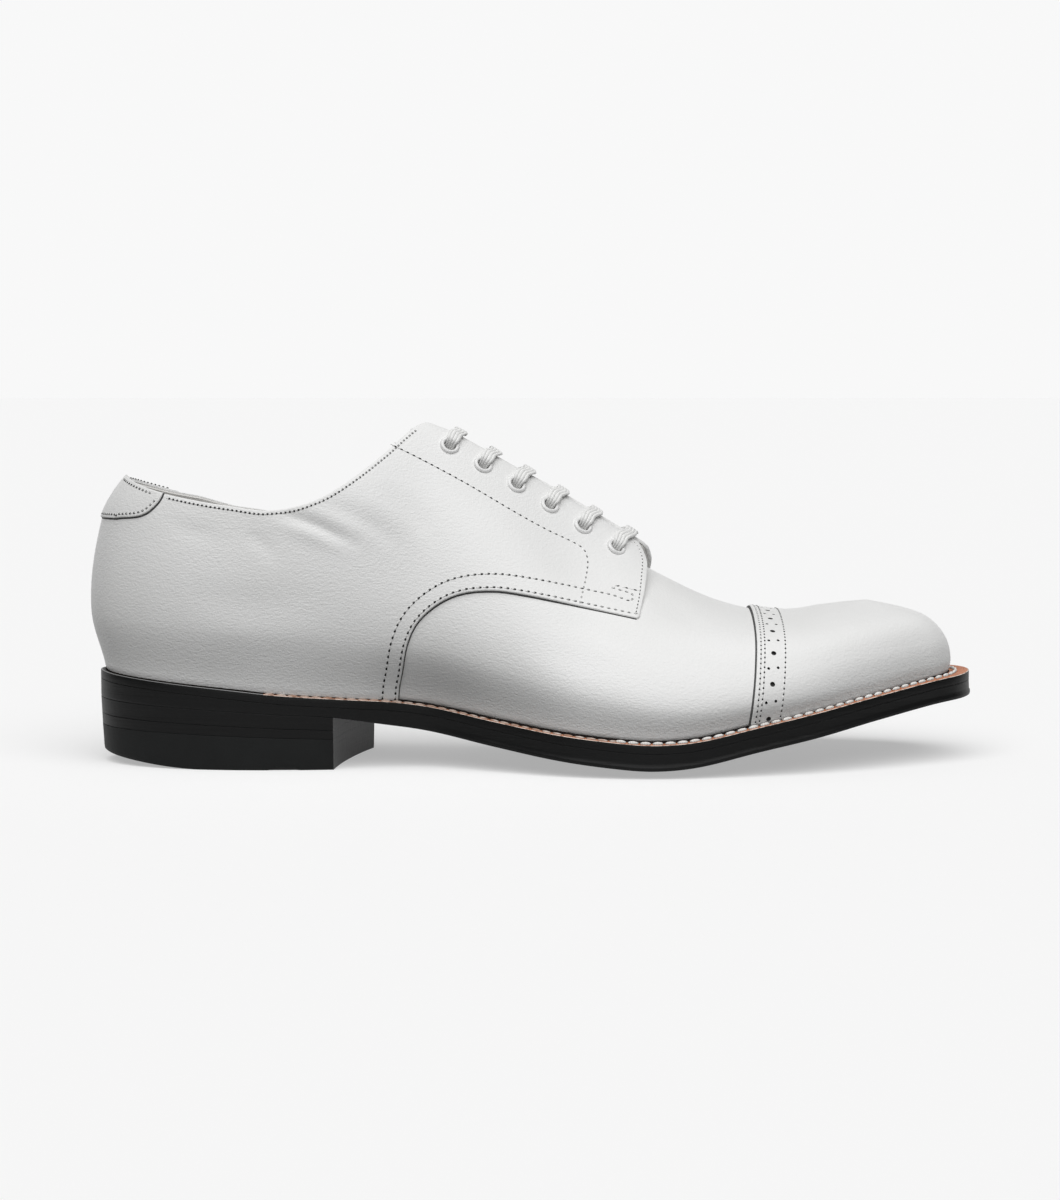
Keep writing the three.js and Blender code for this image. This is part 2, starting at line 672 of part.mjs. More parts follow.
// Toe cap and back tab lie on the upper, the tongue under the facings
function overlay(kind, inner, outer, region) {
  return form(kind, outer).intersect(region).subtract(form(kind, inner)).subtract(below_welt);
}
const cap_points = smoothOutline(cap_seam);
const cap_region = sidePrism([...cap_points, point2(far, cap_points.at(-1).y), point2(far, cap_points[0].y)]);
const toe_cap = overlay('plain', gap, gap + cap_thickness, cap_region);
const tab_points = smoothOutline(tab_edge);
const tab_region = sidePrism([...tab_points, point2(tab_points[0].x, tab_points.at(-1).y)]);
const tab_inner = quarter_step + gap;
const back_tab = overlay('plain', tab_inner, tab_inner + cap_thickness, tab_region).subtract(above_collar);

const tongue_outer = -vamp_wall - lace_room;
const tongue = overlay(
  'peaked', tongue_outer - tongue_thickness, tongue_outer, sidePrism(tongue_outline.map(sidePoint)),
);

// Lace: a flat band through points, each with its across and its thickness directions
function band(path) {
  const points = [];
  const faces = [];
  for (const { point, wide, thick } of path) {
    for (const [a, b] of [[-1, -1], [1, -1], [1, 1], [-1, 1]]) {
      points.push(point.clone().addScaledVector(wide, (a * lace_width) / 2)
        .addScaledVector(thick, (b * lace_thickness) / 2));
    }
  }
  for (let i = 0; i < path.length - 1; i += 1) {
    for (let k = 0; k < 4; k += 1) {
      const [a, b] = [4 * i + k, 4 * i + ((k + 1) % 4)];
      faces.push([a, b, b + 4], [a, b + 4, a + 4]);
    }
  }
  const end = 4 * (path.length - 1);
  faces.push([0, 2, 1], [0, 3, 2], [end, end + 1, end + 2], [end, end + 2, end + 3]);
  const solid = solidFrom(points, faces);
  return solid.volume() > 0 ? solid : solidFrom(points, faces.map(([a, b, c]) => [a, c, b]));
}

const run_depth = quarter_wall + lace_clearance + lace_thickness / 2;
const bar_height = eyelet_seat + eyelet_flange_rise + gap + lace_thickness / 2;

// From inside, up through an eyelet and over its flange towards the throat
function barEnd(place) {
  const at = (up, rise) => place.center.clone().addScaledVector(place.up, up).addScaledVector(place.normal, rise);
  const turn = bar_height - lace_bend;
  const points = [at(0, -run_depth - lace_thickness / 4), at(0, turn)];
  for (const angle of [0.25, 0.5, 0.75]) {
    const a = (angle * Math.PI) / 2;
    points.push(at(lace_bend * (1 - Math.cos(a)), turn + lace_bend * Math.sin(a)));
  }
  points.push(at(lace_bend, bar_height), at(eyelet_flange + gap, bar_height));
  return points;
}

function bar(index) {
  const [left, right] = [places.lateral[index - 1], places.medial[index - 1]];
  const wide = left.along.clone().add(right.along).normalize();
  const ridge = ridgeAt((left.center.x + right.center.x) / 2);
  const rise = new THREE.Vector3().crossVectors(new THREE.Vector3(0, -1, 0), wide).normalize();
  const height = ridge.clone().sub(left.center).dot(rise);
  const top = left.center.clone().setY(ridge.y).addScaledVector(rise, height + bar_height);
  const points = [...barEnd(left), top, ...barEnd(right).reverse()];
  const path = points.map((point, i) => {
    const before = points[Math.max(i - 1, 0)];
    const after = points[Math.min(i + 1, points.length - 1)];
    const direction = after.clone().sub(before).normalize();
    return { point, wide, thick: direction.cross(wide).normalize() };
  });
  return band(path);
}

// Hidden runs under the facings, each from one eyelet to the next one that the lace comes out of
const hidden_runs = [
  { side: 'lateral', from: 6, to: 5 },
  { side: 'medial', from: 5, to: 3 },
  { side: 'lateral', from: 3, to: 1 },
  { side: 'medial', from: 6, to: 4 },
  { side: 'lateral', from: 4, to: 2 },
  { side: 'medial', from: 2, to: 1 },
];
function hiddenRun({ side, from, to }) {
  const path = [];
  for (let index = from; index >= to; index -= 1) {
    const place = places[side][index - 1];
    const point = place.center.clone().addScaledVector(place.normal, -run_depth);
    path.push({ point, wide: place.up, thick: place.normal });
  }
  return band(path);
}
let lace = bar(1);
for (let index = 2; index <= eyelet_count; index += 1) lace = lace.add(bar(index));
for (const run of hidden_runs) lace = lace.add(hiddenRun(run));

// Materials
function finish(color, roughness, metalness = 0) {
  return new THREE.MeshStandardMaterial({ color, roughness, metalness });
}
const kid = finish(0xf1f1f0, 0.5);
const lining = finish(0xdcdad4, 0.7);
const enamel = finish(0xf6f6f5, 0.35);
const cotton = finish(0xf2f2f0, 0.85);
const tan_leather = finish(0xc07c4c, 0.6);
const black_leather = finish(0x141414, 0.4);
const black_rubber = finish(0x0f0f0f, 0.6);

// The assembly
const group = new THREE.Group();
function place(name, solid, material) {
  const mesh = solid.getMesh();
  const geometry = new THREE.BufferGeometry();
  geometry.setAttribute('position', new THREE.BufferAttribute(new Float32Array(mesh.vertProperties), 3));
  geometry.setIndex(Array.from(mesh.triVerts));
  geometry.computeVertexNormals();
  const result = new THREE.Mesh(geometry, material);
  result.name = name;
  group.add(result);
}
place('outsole', outsole, black_leather);
place('welt', welt, tan_leather);
place('heel_rand', heel_rand, black_leather);
place('heel_lift_1', heel_lift_1, black_leather);
place('heel_lift_2', heel_lift_2, black_leather);
place('heel_top_piece', heel_top_piece, black_rubber);
place('insole', insole, lining);
place('upper', upper, kid);
place('toe_cap', toe_cap, kid);
place('back_tab', back_tab, kid);
place('tongue', tongue, kid);
for (const side of Object.keys(sides)) {
  places[side].forEach((spot, i) => place(`eyelet_${side}_${i + 1}`, eyelet(spot), enamel));
}
place('lace', lace, cotton);

// The origin is under the middle of the shoe's length and width, on the floor
const box = new THREE.Box3().setFromObject(group);
const middle = box.getCenter(new THREE.Vector3());
group.position.set(-middle.x, -middle.y, 0);

export default group;
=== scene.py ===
import math

import bpy
import numpy as np
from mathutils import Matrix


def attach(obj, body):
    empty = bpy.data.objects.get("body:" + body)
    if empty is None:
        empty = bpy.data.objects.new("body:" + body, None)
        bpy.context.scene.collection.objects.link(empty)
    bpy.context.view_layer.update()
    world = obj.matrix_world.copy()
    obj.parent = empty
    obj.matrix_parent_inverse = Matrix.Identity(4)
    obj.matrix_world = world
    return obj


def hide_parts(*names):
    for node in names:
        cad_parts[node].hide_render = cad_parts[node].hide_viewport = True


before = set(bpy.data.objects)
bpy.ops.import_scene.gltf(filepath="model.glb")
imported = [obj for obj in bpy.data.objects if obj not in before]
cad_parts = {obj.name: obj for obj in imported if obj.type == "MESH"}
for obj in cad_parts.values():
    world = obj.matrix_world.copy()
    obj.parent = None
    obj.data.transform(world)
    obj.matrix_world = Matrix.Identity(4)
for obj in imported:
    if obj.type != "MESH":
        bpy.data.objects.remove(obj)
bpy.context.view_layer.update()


# Camera. It stands 0.92 m from the shoe's outer side, a little above its top, and looks down by
# 4.5 degrees. Its lens and distance come from how large the sole's near and far edges look.
camera_data = bpy.data.cameras.new("camera")
camera_data.sensor_fit = "VERTICAL"
camera_data.sensor_height = 36
camera_data.lens = 79.8
camera = bpy.data.objects.new("camera", camera_data)
camera.location = (-0.0013, -0.9214, 0.128)
camera.rotation_euler = (math.radians(90 - 4.52), 0, 0)
bpy.context.scene.collection.objects.link(camera)
bpy.context.scene.camera = camera


# Insole. A flat leather board inside the shoe with a thin leather sock glued over it. The upper is
# lasted round its edge. Its outline is the last's, the wooden form that the whole shoe is built on,
# so the last's sizes come here: millimetres, with shares of these sizes in the tables.
last_length = 292.3
ball_width = 94
upper_height = 116
seat_height = 31.7
facing_peak = 7.5
welt_width = 5.5
welt_thickness = 3.0
gap = 0.3
frame_shift = np.array([-1.309, -0.434, 0.0])

# From the heel to the toe: where the ridge lies, how far out and up, the same for the sole's edge on
# the lateral and the medial side, how full the section is at three heights, the facing's peak, the welt.
last_rows = np.array([
    [0.097, 0.000, 1.069, 0.000, 0.000, 0.000, 0.000, 1.17, 1.08, 0.75, 1.17, 1.08, 0.75, 0.0, 0.53],
    [0.107, 0.000, 1.069, 0.018, 0.144, 0.018, 0.144, 1.16, 1.07, 0.76, 1.16, 1.07, 0.76, 0.0, 0.53],
    [0.124, 0.000, 1.069, 0.066, 0.248, 0.066, 0.248, 1.15, 1.07, 0.77, 1.15, 1.07, 0.77, 0.0, 0.53],
    [0.155, 0.000, 1.069, 0.134, 0.301, 0.134, 0.301, 1.15, 1.06, 0.78, 1.15, 1.06, 0.78, 0.0, 0.53],
    [0.210, 0.000, 1.069, 0.210, 0.312, 0.210, 0.312, 1.14, 1.06, 0.80, 1.14, 1.06, 0.80, 0.0, 0.54],
    [0.295, 0.000, 1.043, 0.295, 0.285, 0.295, 0.266, 1.22, 1.13, 0.84, 1.27, 1.18, 0.88, 0.0, 0.58],
    [0.381, 0.011, 0.991, 0.381, 0.243, 0.381, 0.202, 1.38, 1.22, 0.78, 1.53, 1.42, 0.92, 0.4, 0.60],
    [0.466, 0.021, 0.875, 0.466, 0.346, 0.466, 0.245, 1.17, 1.00, 0.60, 1.33, 1.23, 0.78, 0.4, 0.75],
    [0.552, 0.032, 0.703, 0.552, 0.463, 0.552, 0.388, 1.05, 0.86, 0.50, 1.11, 0.96, 0.58, 1.0, 0.93],
    [0.637, 0.048, 0.576, 0.637, 0.502, 0.637, 0.489, 1.04, 0.88, 0.56, 1.05, 0.92, 0.60, 0.8, 1.00],
    [0.723, 0.064, 0.473, 0.723, 0.464, 0.723, 0.511, 1.04, 0.93, 0.69, 1.04, 0.94, 0.70, 0.0, 1.00],
    [0.802, 0.080, 0.433, 0.815, 0.372, 0.815, 0.492, 1.04, 0.97, 0.78, 1.04, 0.97, 0.78, 0.0, 1.08],
    [0.849, 0.091, 0.446, 0.890, 0.243, 0.890, 0.434, 1.03, 0.98, 0.80, 1.03, 0.98, 0.80, 0.0, 1.20],
    [0.880, 0.098, 0.455, 0.954, 0.098, 0.954, 0.346, 1.03, 0.98, 0.80, 1.03, 0.98, 0.80, 0.0, 1.38],
    [0.896, 0.103, 0.459, 0.988, 0.001, 0.988, 0.262, 1.02, 0.96, 0.75, 1.02, 0.96, 0.75, 0.0, 1.48],
    [0.904, 0.106, 0.460, 1.000, -0.130, 1.000, 0.130, 1.02, 0.95, 0.71, 1.02, 0.95, 0.71, 0.0, 1.50],
])

# The sole from the side: place, the welt's top, the outsole's lower edge, how far its middle hangs
sole_rows = np.array([
    [-0.010, 1.000, 0.707, 0.0], [0.073, 0.927, 0.669, 0.0], [0.158, 0.852, 0.625, 0.0],
    [0.203, 0.808, 0.599, 0.0], [0.271, 0.763, 0.562, 0.0], [0.335, 0.722, 0.473, 0.0],
    [0.386, 0.659, 0.397, 0.3], [0.454, 0.549, 0.281, 0.7], [0.523, 0.451, 0.180, 0.9],
    [0.590, 0.385, 0.110, 1.0], [0.640, 0.356, 0.082, 1.0], [0.691, 0.388, 0.120, 1.0],
    [0.759, 0.517, 0.256, 0.8], [0.828, 0.644, 0.379, 0.6], [0.901, 0.782, 0.524, 0.4],
    [0.979, 0.905, 0.650, 0.2], [1.030, 0.956, 0.691, 0.0],
])
last_row = len(last_rows) - 1
lateral, medial = 0, 1


def length_at(share):
    return (share - 0.5) * last_length


def smooth_curve(places, values):
    slopes = np.gradient(values)
    slopes[1:-1] = (values[2:] - values[:-2]) / (places[2:] - places[:-2])
    slopes[0] = (values[1] - values[0]) / (places[1] - places[0])
    slopes[-1] = (values[-1] - values[-2]) / (places[-1] - places[-2])

    def at(place):
        x = np.clip(place, places[0], places[-1])
        i = np.clip(np.searchsorted(places, x) - 1, 0, len(places) - 2)
        span = places[i + 1] - places[i]
        s = (x - places[i]) / span
        ease = s * s * (3 - 2 * s)
        bend = s * (1 - s) * span * (slopes[i] * (1 - s) - slopes[i + 1] * s)
        return values[i] + (values[i + 1] - values[i]) * ease + bend
    return at


sole_places = length_at(sole_rows[:, 0])
welt_top = smooth_curve(sole_places, sole_rows[:, 1] * seat_height)
sole_under = smooth_curve(sole_places, sole_rows[:, 2] * seat_height)
sole_crown = smooth_curve(sole_places, sole_rows[:, 3] * 3.0)


def last_record(side):
    at, out, low = (3, 4, 7) if side == lateral else (5, 6, 10)
    turn = -1 if side == lateral else 1
    columns = [
        length_at(last_rows[:, at]), turn * last_rows[:, out] * ball_width,
        length_at(last_rows[:, 0]), last_rows[:, 1] * ball_width, last_rows[:, 2] * upper_height,
        last_rows[:, low], last_rows[:, low + 1], last_rows[:, low + 2],
        last_rows[:, 13] * facing_peak, last_rows[:, 14] * welt_width,
    ]
    return np.stack(columns, axis=1)


own = [last_record(lateral), last_record(medial)]
records = []
for side in (lateral, medial):
    beyond = own[1 - side]
    records.append(np.vstack([beyond[1:2], own[side], beyond[last_row - 1:last_row]]))
stretches = []
for side in (lateral, medial):
    stretches.append(np.hypot(*np.diff(own[side][:, :2], axis=0).T))
knots = np.concatenate([[0], np.cumsum((stretches[0] + stretches[1]) / 2)])
path_length = knots[-1]
wide_knots = np.concatenate([[-knots[1]], knots, [2 * path_length - knots[-2]]])


# One row of the last at any distance along it: edge x and y, ridge x, y and z, low, mid, high, peak, edge
def last_at(side, distance):
    d = np.atleast_1d(np.asarray(distance, float))
    i = np.clip(np.searchsorted(knots, d) - 1, 0, last_row - 1)
    k0, k1, k2, k3 = [wide_knots[i + n][:, None] for n in range(4)]
    v0, v1, v2, v3 = [records[side][i + n] for n in range(4)]
    span = k2 - k1
    s = (d[:, None] - k1) / span
    slope_1 = (v2 - v0) / (k2 - k0)
    slope_2 = (v3 - v1) / (k3 - k1)
    bend = s * (1 - s) * span * (slope_1 * (1 - s) - slope_2 * s)
    return v1 + (v2 - v1) * s * s * (3 - 2 * s) + bend


def plan_point(side, distance):
    inside = np.abs(distance)
    inside = np.where(inside > path_length, 2 * path_length - inside, inside)
    crossed = (distance < 0) | (distance > path_length)
    near = last_at(side, inside)[:, :2]
    over = last_at(1 - side, inside)[:, :2]
    return np.where(crossed[:, None], over, near)


# Plan points a distance out from the upper's lower edge
def edge_line(side, distance, out):
    step = path_length / 160
    along = plan_point(side, distance + step) - plan_point(side, distance - step)
    along /= np.hypot(*along.T)[:, None]
    turn = -1 if side == lateral else 1
    square = np.stack([-turn * along[:, 1], turn * along[:, 0]], axis=1)
    return plan_point(side, distance) + square * np.reshape(out, (-1, 1))


def row_distances(count):
    share = np.arange(count + 1) / count
    return path_length * (share - 0.3 * np.sin(2 * np.pi * share) / (2 * np.pi))


def right_side_out(points, faces):
    corners = points[faces]
    volume = np.einsum("ij,ij->i", corners[:, 0], np.cross(corners[:, 1], corners[:, 2])).sum()
    return faces[:, ::-1] if volume < 0 else faces


# A mesh from points in millimetres and triangles. Edges sharper than 40 degrees stay sharp.
def new_piece(name, points, faces, materials):
    points = np.asarray(points, float)
    faces = right_side_out(points, np.asarray(faces, int))
    mesh = bpy.data.meshes.new(name)
    mesh.from_pydata(((points + frame_shift) / 1000).tolist(), [], faces.tolist())
    for material in materials:
        mesh.materials.append(material)
    mesh.shade_smooth()
    mesh.set_sharp_from_angle(angle=math.radians(40))
    piece = bpy.data.objects.new(name, mesh)
    bpy.context.scene.collection.objects.link(piece)
    return piece


def fit(piece, slot, *nodes):
    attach(piece, "root")
    if nodes:
        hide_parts(*nodes)


def triangles(quads):
    quads = quads.reshape(-1, 4)
    faces = np.vstack([quads[:, [0, 1, 2]], quads[:, [0, 2, 3]]])
    a, b, c = faces.T
    return faces[(a != b) & (b != c) & (a != c)]


def grid_quads(ids):
    return np.stack([ids[:-1, :-1], ids[1:, :-1], ids[1:, 1:], ids[:-1, 1:]], axis=-1)


# A flat layer of the sole. Each loop, from the top down, has its reach out and its height.
def layer(loops, columns=6, sag=None, count=200):
    distance = row_distances(count)
    points = []
    rings = []
    ids = []
    total = 0
    for reach, height in loops:
        pair = []
        for side in (lateral, medial):
            plan = edge_line(side, distance, reach(last_at(side, distance)[:, 9]))
            points.append(np.column_stack([plan, height(plan[:, 0])]))
            pair.append(total + np.arange(count + 1))
            total += count + 1
        rings.append(points[-2:])
        pair[1][[0, -1]] = pair[0][[0, -1]]
        ids.append(pair)
    faces = []
    for side in (lateral, medial):
        wall = np.stack([pair[side] for pair in ids])
        faces.append(grid_quads(wall if side == lateral else wall[:, ::-1]))
    for end in (0, -1):
        near, far = rings[end]
        share = np.linspace(0, 1, columns + 1)[None, :, None]
        cover = near[:, None] * (1 - share) + far[:, None] * share
        height = loops[end][1]
        cover[..., 2] = height(cover[..., 0])
        width = np.hypot(*(near - far)[:, :2].T)[:, None]
        bow = (1 - (2 * share[..., 0] - 1) ** 2) * np.minimum(1, width / (ball_width / 2))
        if sag is not None and end == -1:
            cover[..., 2] -= sag(cover[..., 0]) * bow
        net = np.zeros((count + 1, columns + 1), int)
        net[:, 0], net[:, -1] = ids[end]
        inner = cover[1:-1, 1:-1].reshape(-1, 3)
        net[1:-1, 1:-1] = total + np.arange(len(inner)).reshape(count - 1, columns - 1)
        net[[0, -1]] = net[[0, -1], :1]
        total += len(inner)
        points.append(inner)
        faces.append(grid_quads(net if end else net[:, ::-1]))
    return np.vstack(points), triangles(np.concatenate([f.reshape(-1, 4) for f in faces]))


# Materials are built from nodes. A bump chain takes noise patterns of the piece's own coordinates.
def new_material(name, color, roughness, coat=0.0, sheen=0.0, specular=0.5):
    material = bpy.data.materials.new(name)
    material.use_nodes = True
    shader = material.node_tree.nodes["Principled BSDF"]
    shader.inputs["Base Color"].default_value = (*color, 1)
    shader.inputs["Roughness"].default_value = roughness
    shader.inputs["Coat Weight"].default_value = coat
    shader.inputs["Coat Roughness"].default_value = 0.3
    shader.inputs["Sheen Weight"].default_value = sheen
    shader.inputs["Specular IOR Level"].default_value = specular
    return material


def add_node(material, kind, links=(), **values):
    tree = material.node_tree
    node = tree.nodes.new(kind)
    for name, value in values.items():
        if hasattr(node, name):
            setattr(node, name, value)
        else:
            node.inputs[name.replace("_", " ").title()].default_value = value
    for name, source in links:
        tree.links.new(source, node.inputs[name])
    return node


def object_place(material, scale=(1, 1, 1), turn=(0, 0, 0)):
    place = add_node(material, "ShaderNodeTexCoord").outputs["Object"]
    mapping = add_node(material, "ShaderNodeMapping", [("Vector", place)])
    mapping.inputs["Scale"].default_value = scale
    mapping.inputs["Rotation"].default_value = turn
    return mapping.outputs["Vector"]


def noise(material, place, scale, detail=3.0, distortion=0.0):
    links = [("Vector", place)]
    node = add_node(material, "ShaderNodeTexNoise", links, scale=scale, detail=detail, distortion=distortion)
    return node.outputs["Fac"]


def relief(material, height, distance, strength=1.0, before=None):
    links = [("Height", height)] + ([("Normal", before)] if before else [])
    node = add_node(material, "ShaderNodeBump", links, strength=strength)
    node.inputs["Distance"].default_value = distance
    return node.outputs["Normal"]


def ramp(material, factor, stops):
    node = add_node(material, "ShaderNodeValToRGB", [("Fac", factor)])
    for element, (at, color) in zip(node.color_ramp.elements, stops):
        element.position = at
        element.color = (*color, 1)
    return node.outputs["Color"]


def use(material, socket, source):
    material.node_tree.links.new(source, material.node_tree.nodes["Principled BSDF"].inputs[socket])


def grained(material, scale, detail, depth, strength=1.0):
    pores = noise(material, object_place(material), scale, detail)
    use(material, "Normal", relief(material, pores, depth, strength))


def mottled(material, scale, detail, dark, pale, low=0.3, high=0.7):
    tone = noise(material, object_place(material), scale, detail)
    use(material, "Base Color", ramp(material, tone, [(low, dark), (high, pale)]))


sock_leather = new_material("sock_leather", (0.74, 0.72, 0.68), 0.6)
grained(sock_leather, 900, 4.0, 0.0002)
mottled(sock_leather, 25, 3.0, (0.68, 0.66, 0.62), (0.76, 0.74, 0.70))

insole_top = gap + 2.5
sock_edge = [(4.5, 0.0), (3.0, 0.15), (2.2, 0.55), (1.9, 1.1)]
insole_loops = []
for inset, drop in sock_edge:
    insole_loops.append((lambda edge, i=inset: -i + 0 * edge, lambda x, d=drop: welt_top(x) + insole_top - d))
insole_loops.append((lambda edge: -1.9 + 0 * edge, lambda x: welt_top(x) - welt_thickness))
insole = new_piece("insole", *layer(insole_loops), [sock_leather])
fit(insole, "lining", "insole")


# Vamp. The front of the upper: white kid, 1 mm thick, pulled over the last from under the quarters
# to under the toe cap and lasted in below the welt. It is cut open along the middle for the throat.
rows = 320
steps = 96
across = 2 * steps


# The last's surface as a net of points from the lateral edge over the ridge to the medial edge
def last_net(peaked):
    distance = row_distances(rows)
    halves = []
    for side in (lateral, medial):
        row = last_at(side, distance)
        foot = np.column_stack([row[:, 0], row[:, 1], welt_top(row[:, 0])])
        ridge = row[:, 2:5].copy()
        points = [foot]
        for share, height in zip(row[:, 5:8].T, (0.22, 0.5, 0.78)):
            point = ridge + (foot - ridge) * share[:, None]
            point[:, 2] = foot[:, 2] + (ridge[:, 2] - foot[:, 2]) * height
            points.append(point)
        if peaked:
            ridge[:, 2] += row[:, 8]
        halves.append(points + [ridge])
    through = halves[0] + halves[1][:-1][::-1]
    before = through[0].copy()
    before[:, 2] = 2 * through[0][:, 2] - through[1][:, 2]
    after = through[-1].copy()
    after[:, 2] = 2 * through[-1][:, 2] - through[-2][:, 2]
    along = np.stack([before, *through, after], axis=1)
    time = np.cumsum(np.sqrt(np.linalg.norm(np.diff(along, axis=1), axis=2)), axis=1)
    time = np.concatenate([np.zeros((rows + 1, 1)), time], axis=1)
    span = np.diff(time, axis=1)[..., None]
    chord = np.diff(along, axis=1) / span
    share = span[:, :-1] / (span[:, :-1] + span[:, 1:])
    tangent = chord[:, :-1] * (1 - share) + chord[:, 1:] * share
    up = np.linspace(0, 1, steps + 1)
    start, top, end = time[:, 1:2], time[:, 5:6], time[:, 9:10]
    t = np.concatenate([start + (top - start) * up, end + (top - end) * up[-2::-1]], axis=1)
    i = 1 + (t[..., None] > time[:, None, 2:9]).sum(axis=2)
    line = np.arange(rows + 1)[:, None]
    s = ((t - time[line, i]) / span[line, i, 0])[..., None]
    point = along[line, i] + (along[line, i + 1] - along[line, i]) * s * s * (3 - 2 * s)
    point += tangent[line, i - 1] * span[line, i] * s * (1 - s) ** 2
    point -= tangent[line, i] * span[line, i] * s * s * (1 - s)
    return point


# Both ends of the net fold, so that lateral and medial points there are the same
net_ids = np.arange((rows + 1) * (across + 1)).reshape(rows + 1, across + 1)
for end in (0, -1):
    net_ids[end, steps + 1:] = net_ids[end, :steps][::-1]


def net_normals(point):
    faces = triangles(grid_quads(net_ids))
    flat = point.reshape(-1, 3)
    a, b, c = flat[faces[:, 0]], flat[faces[:, 1]], flat[faces[:, 2]]
    square = np.cross(b - a, c - a)
    normal = np.zeros_like(flat)
    for corner in faces.T:
        np.add.at(normal, corner, square)
    normal = normal[net_ids]
    normal[:, [0, -1], 2] = 0
    return normal / np.linalg.norm(normal, axis=2, keepdims=True)


def spline(table, between=8):
    points = np.array([(length_at(at), up * upper_height) for at, up in table])
    padded = np.vstack([points[:1], points, points[-1:]])
    curve = []
    for n in range(len(points) - 1):
        p0, p1, p2, p3 = padded[n:n + 4]
        for s in np.arange(between) / between:
            slope_1, slope_2 = (p2 - p0) / 2, (p3 - p1) / 2
            ease = s * s * (3 - 2 * s)
            curve.append(p1 + (p2 - p1) * ease + slope_1 * s * (1 - s) ** 2 - slope_2 * s * s * (1 - s))
    return np.array(curve + [points[-1]])


# How far points of the side view lie inside an outline, negative outside it
def inside_outline(points, outline):
    best = np.full(len(points), 1e9)
    inside = np.zeros(len(points), bool)
    for p, q in zip(outline, np.roll(outline, -1, axis=0)):
        edge = q - p
        share = np.clip(((points - p) @ edge) / (edge @ edge), 0, 1)
        best = np.minimum(best, np.hypot(*(points - p - share[:, None] * edge).T))
        rise = q[1] - p[1] if q[1] != p[1] else 1e-9
        left = points[:, 0] < p[0] + (q[0] - p[0]) * (points[:, 1] - p[1]) / rise
        inside ^= ((p[1] > points[:, 1]) != (q[1] > points[:, 1])) & left
    return np.where(inside, best, -best)


# The same distance measured along the leather
def along_leather(field, point):
    field = field.reshape(rows + 1, across + 1)
    point_i, point_j = np.gradient(point, axis=0), np.gradient(point, axis=1)
    field_i, field_j = np.gradient(field, axis=0), np.gradient(field, axis=1)
    e = (point_i * point_i).sum(-1)
    f = (point_i * point_j).sum(-1)
    g = (point_j * point_j).sum(-1)
    steep = g * field_i ** 2 - 2 * f * field_i * field_j + e * field_j ** 2
    steep = steep / np.maximum(e * g - f * f, 1e-6)
    return field / np.sqrt(np.clip(steep, 0.06, 4))


# Lines of the side view, in shares of the last's length and the upper's height
far = 400.0
cap_seam = [(0.746, 0.000), (0.750, 0.140), (0.758, 0.300), (0.763, 0.470), (0.763, 0.700)]
quarter_seam = [
    (0.343, 0.000), (0.347, 0.210), (0.352, 0.283), (0.359, 0.370), (0.372, 0.435), (0.397, 0.488),
    (0.425, 0.516), (0.460, 0.522), (0.494, 0.510), (0.529, 0.491), (0.567, 0.469), (0.625, 0.437),
]
facing_front = [(0.633, 0.509), (0.637, 0.577), (0.634, 0.612), (0.627, 0.645), (0.618, 0.690)]
vamp_end = length_at(0.614)
facing_end = length_at(0.66)
throat_start = length_at(0.33)
throat_back = length_at(0.2)
throat_floor = 0.455 * upper_height


class Leather:
    def __init__(self, peaked):
        self.point = last_net(peaked)
        self.normal = net_normals(self.point)

    def side(self):
        return self.point[..., [0, 2]].reshape(-1, 2)

    # Soft troughs and ridges along lines of the side view
    def crease(self, side, line, depth, width):
        line = np.array(line, float)
        part = self.point[:, :steps + 1] if side == lateral else self.point[:, steps:]
        flat = part[..., [0, 2]].reshape(-1, 2)
        best = np.full(len(flat), 1e9)
        fade = np.zeros(len(flat))
        total = np.concatenate([[0], np.cumsum(np.hypot(*np.diff(line, axis=0).T))])
        for n in range(len(line) - 1):
            edge = line[n + 1] - line[n]
            share = np.clip(((flat - line[n]) @ edge) / (edge @ edge), 0, 1)
            away = np.hypot(*(flat - line[n] - share[:, None] * edge).T)
            run = (total[n] + share * (total[n + 1] - total[n])) / total[-1]
            fade = np.where(away < best, np.sin(np.pi * np.clip(run, 0.04, 0.96)) ** 0.7, fade)
            best = np.minimum(best, away)
        push = (depth * fade * np.exp(-(best / width) ** 2)).reshape(part.shape[:2])[..., None]
        normal = self.normal[:, :steps + 1] if side == lateral else self.normal[:, steps:]
        part += push * normal


plain = Leather(False)
peaked = Leather(True)
ridge_line = plain.point[:, steps].copy()
tuck_height = 1.7
lean_start = 81
net_column = np.arange(across + 1)

# The lowest edge turns in under the welt, and the back line leans forward towards the collar
for leather in (plain, peaked):
    x, z = leather.point[..., 0], leather.point[..., 2]
    tuck = np.clip(1 - (z - welt_top(x)) / tuck_height, 0, 1) ** 2
    leather.point -= leather.normal * tuck[..., None]
    x += 0.016 * np.clip(z - lean_start, 0, 30) ** 2 * np.clip((-105 - x) / 40, 0, 1)

# The medial facing stands a little higher than the lateral one
far_edge = np.clip((steps + 34 - net_column) / 34, 0, 1) ** 2 * (net_column > steps)
peaked.point[..., 2] += 1.4 * far_edge * np.clip((peaked.point[..., 0] + 8) / 16, 0, 1)

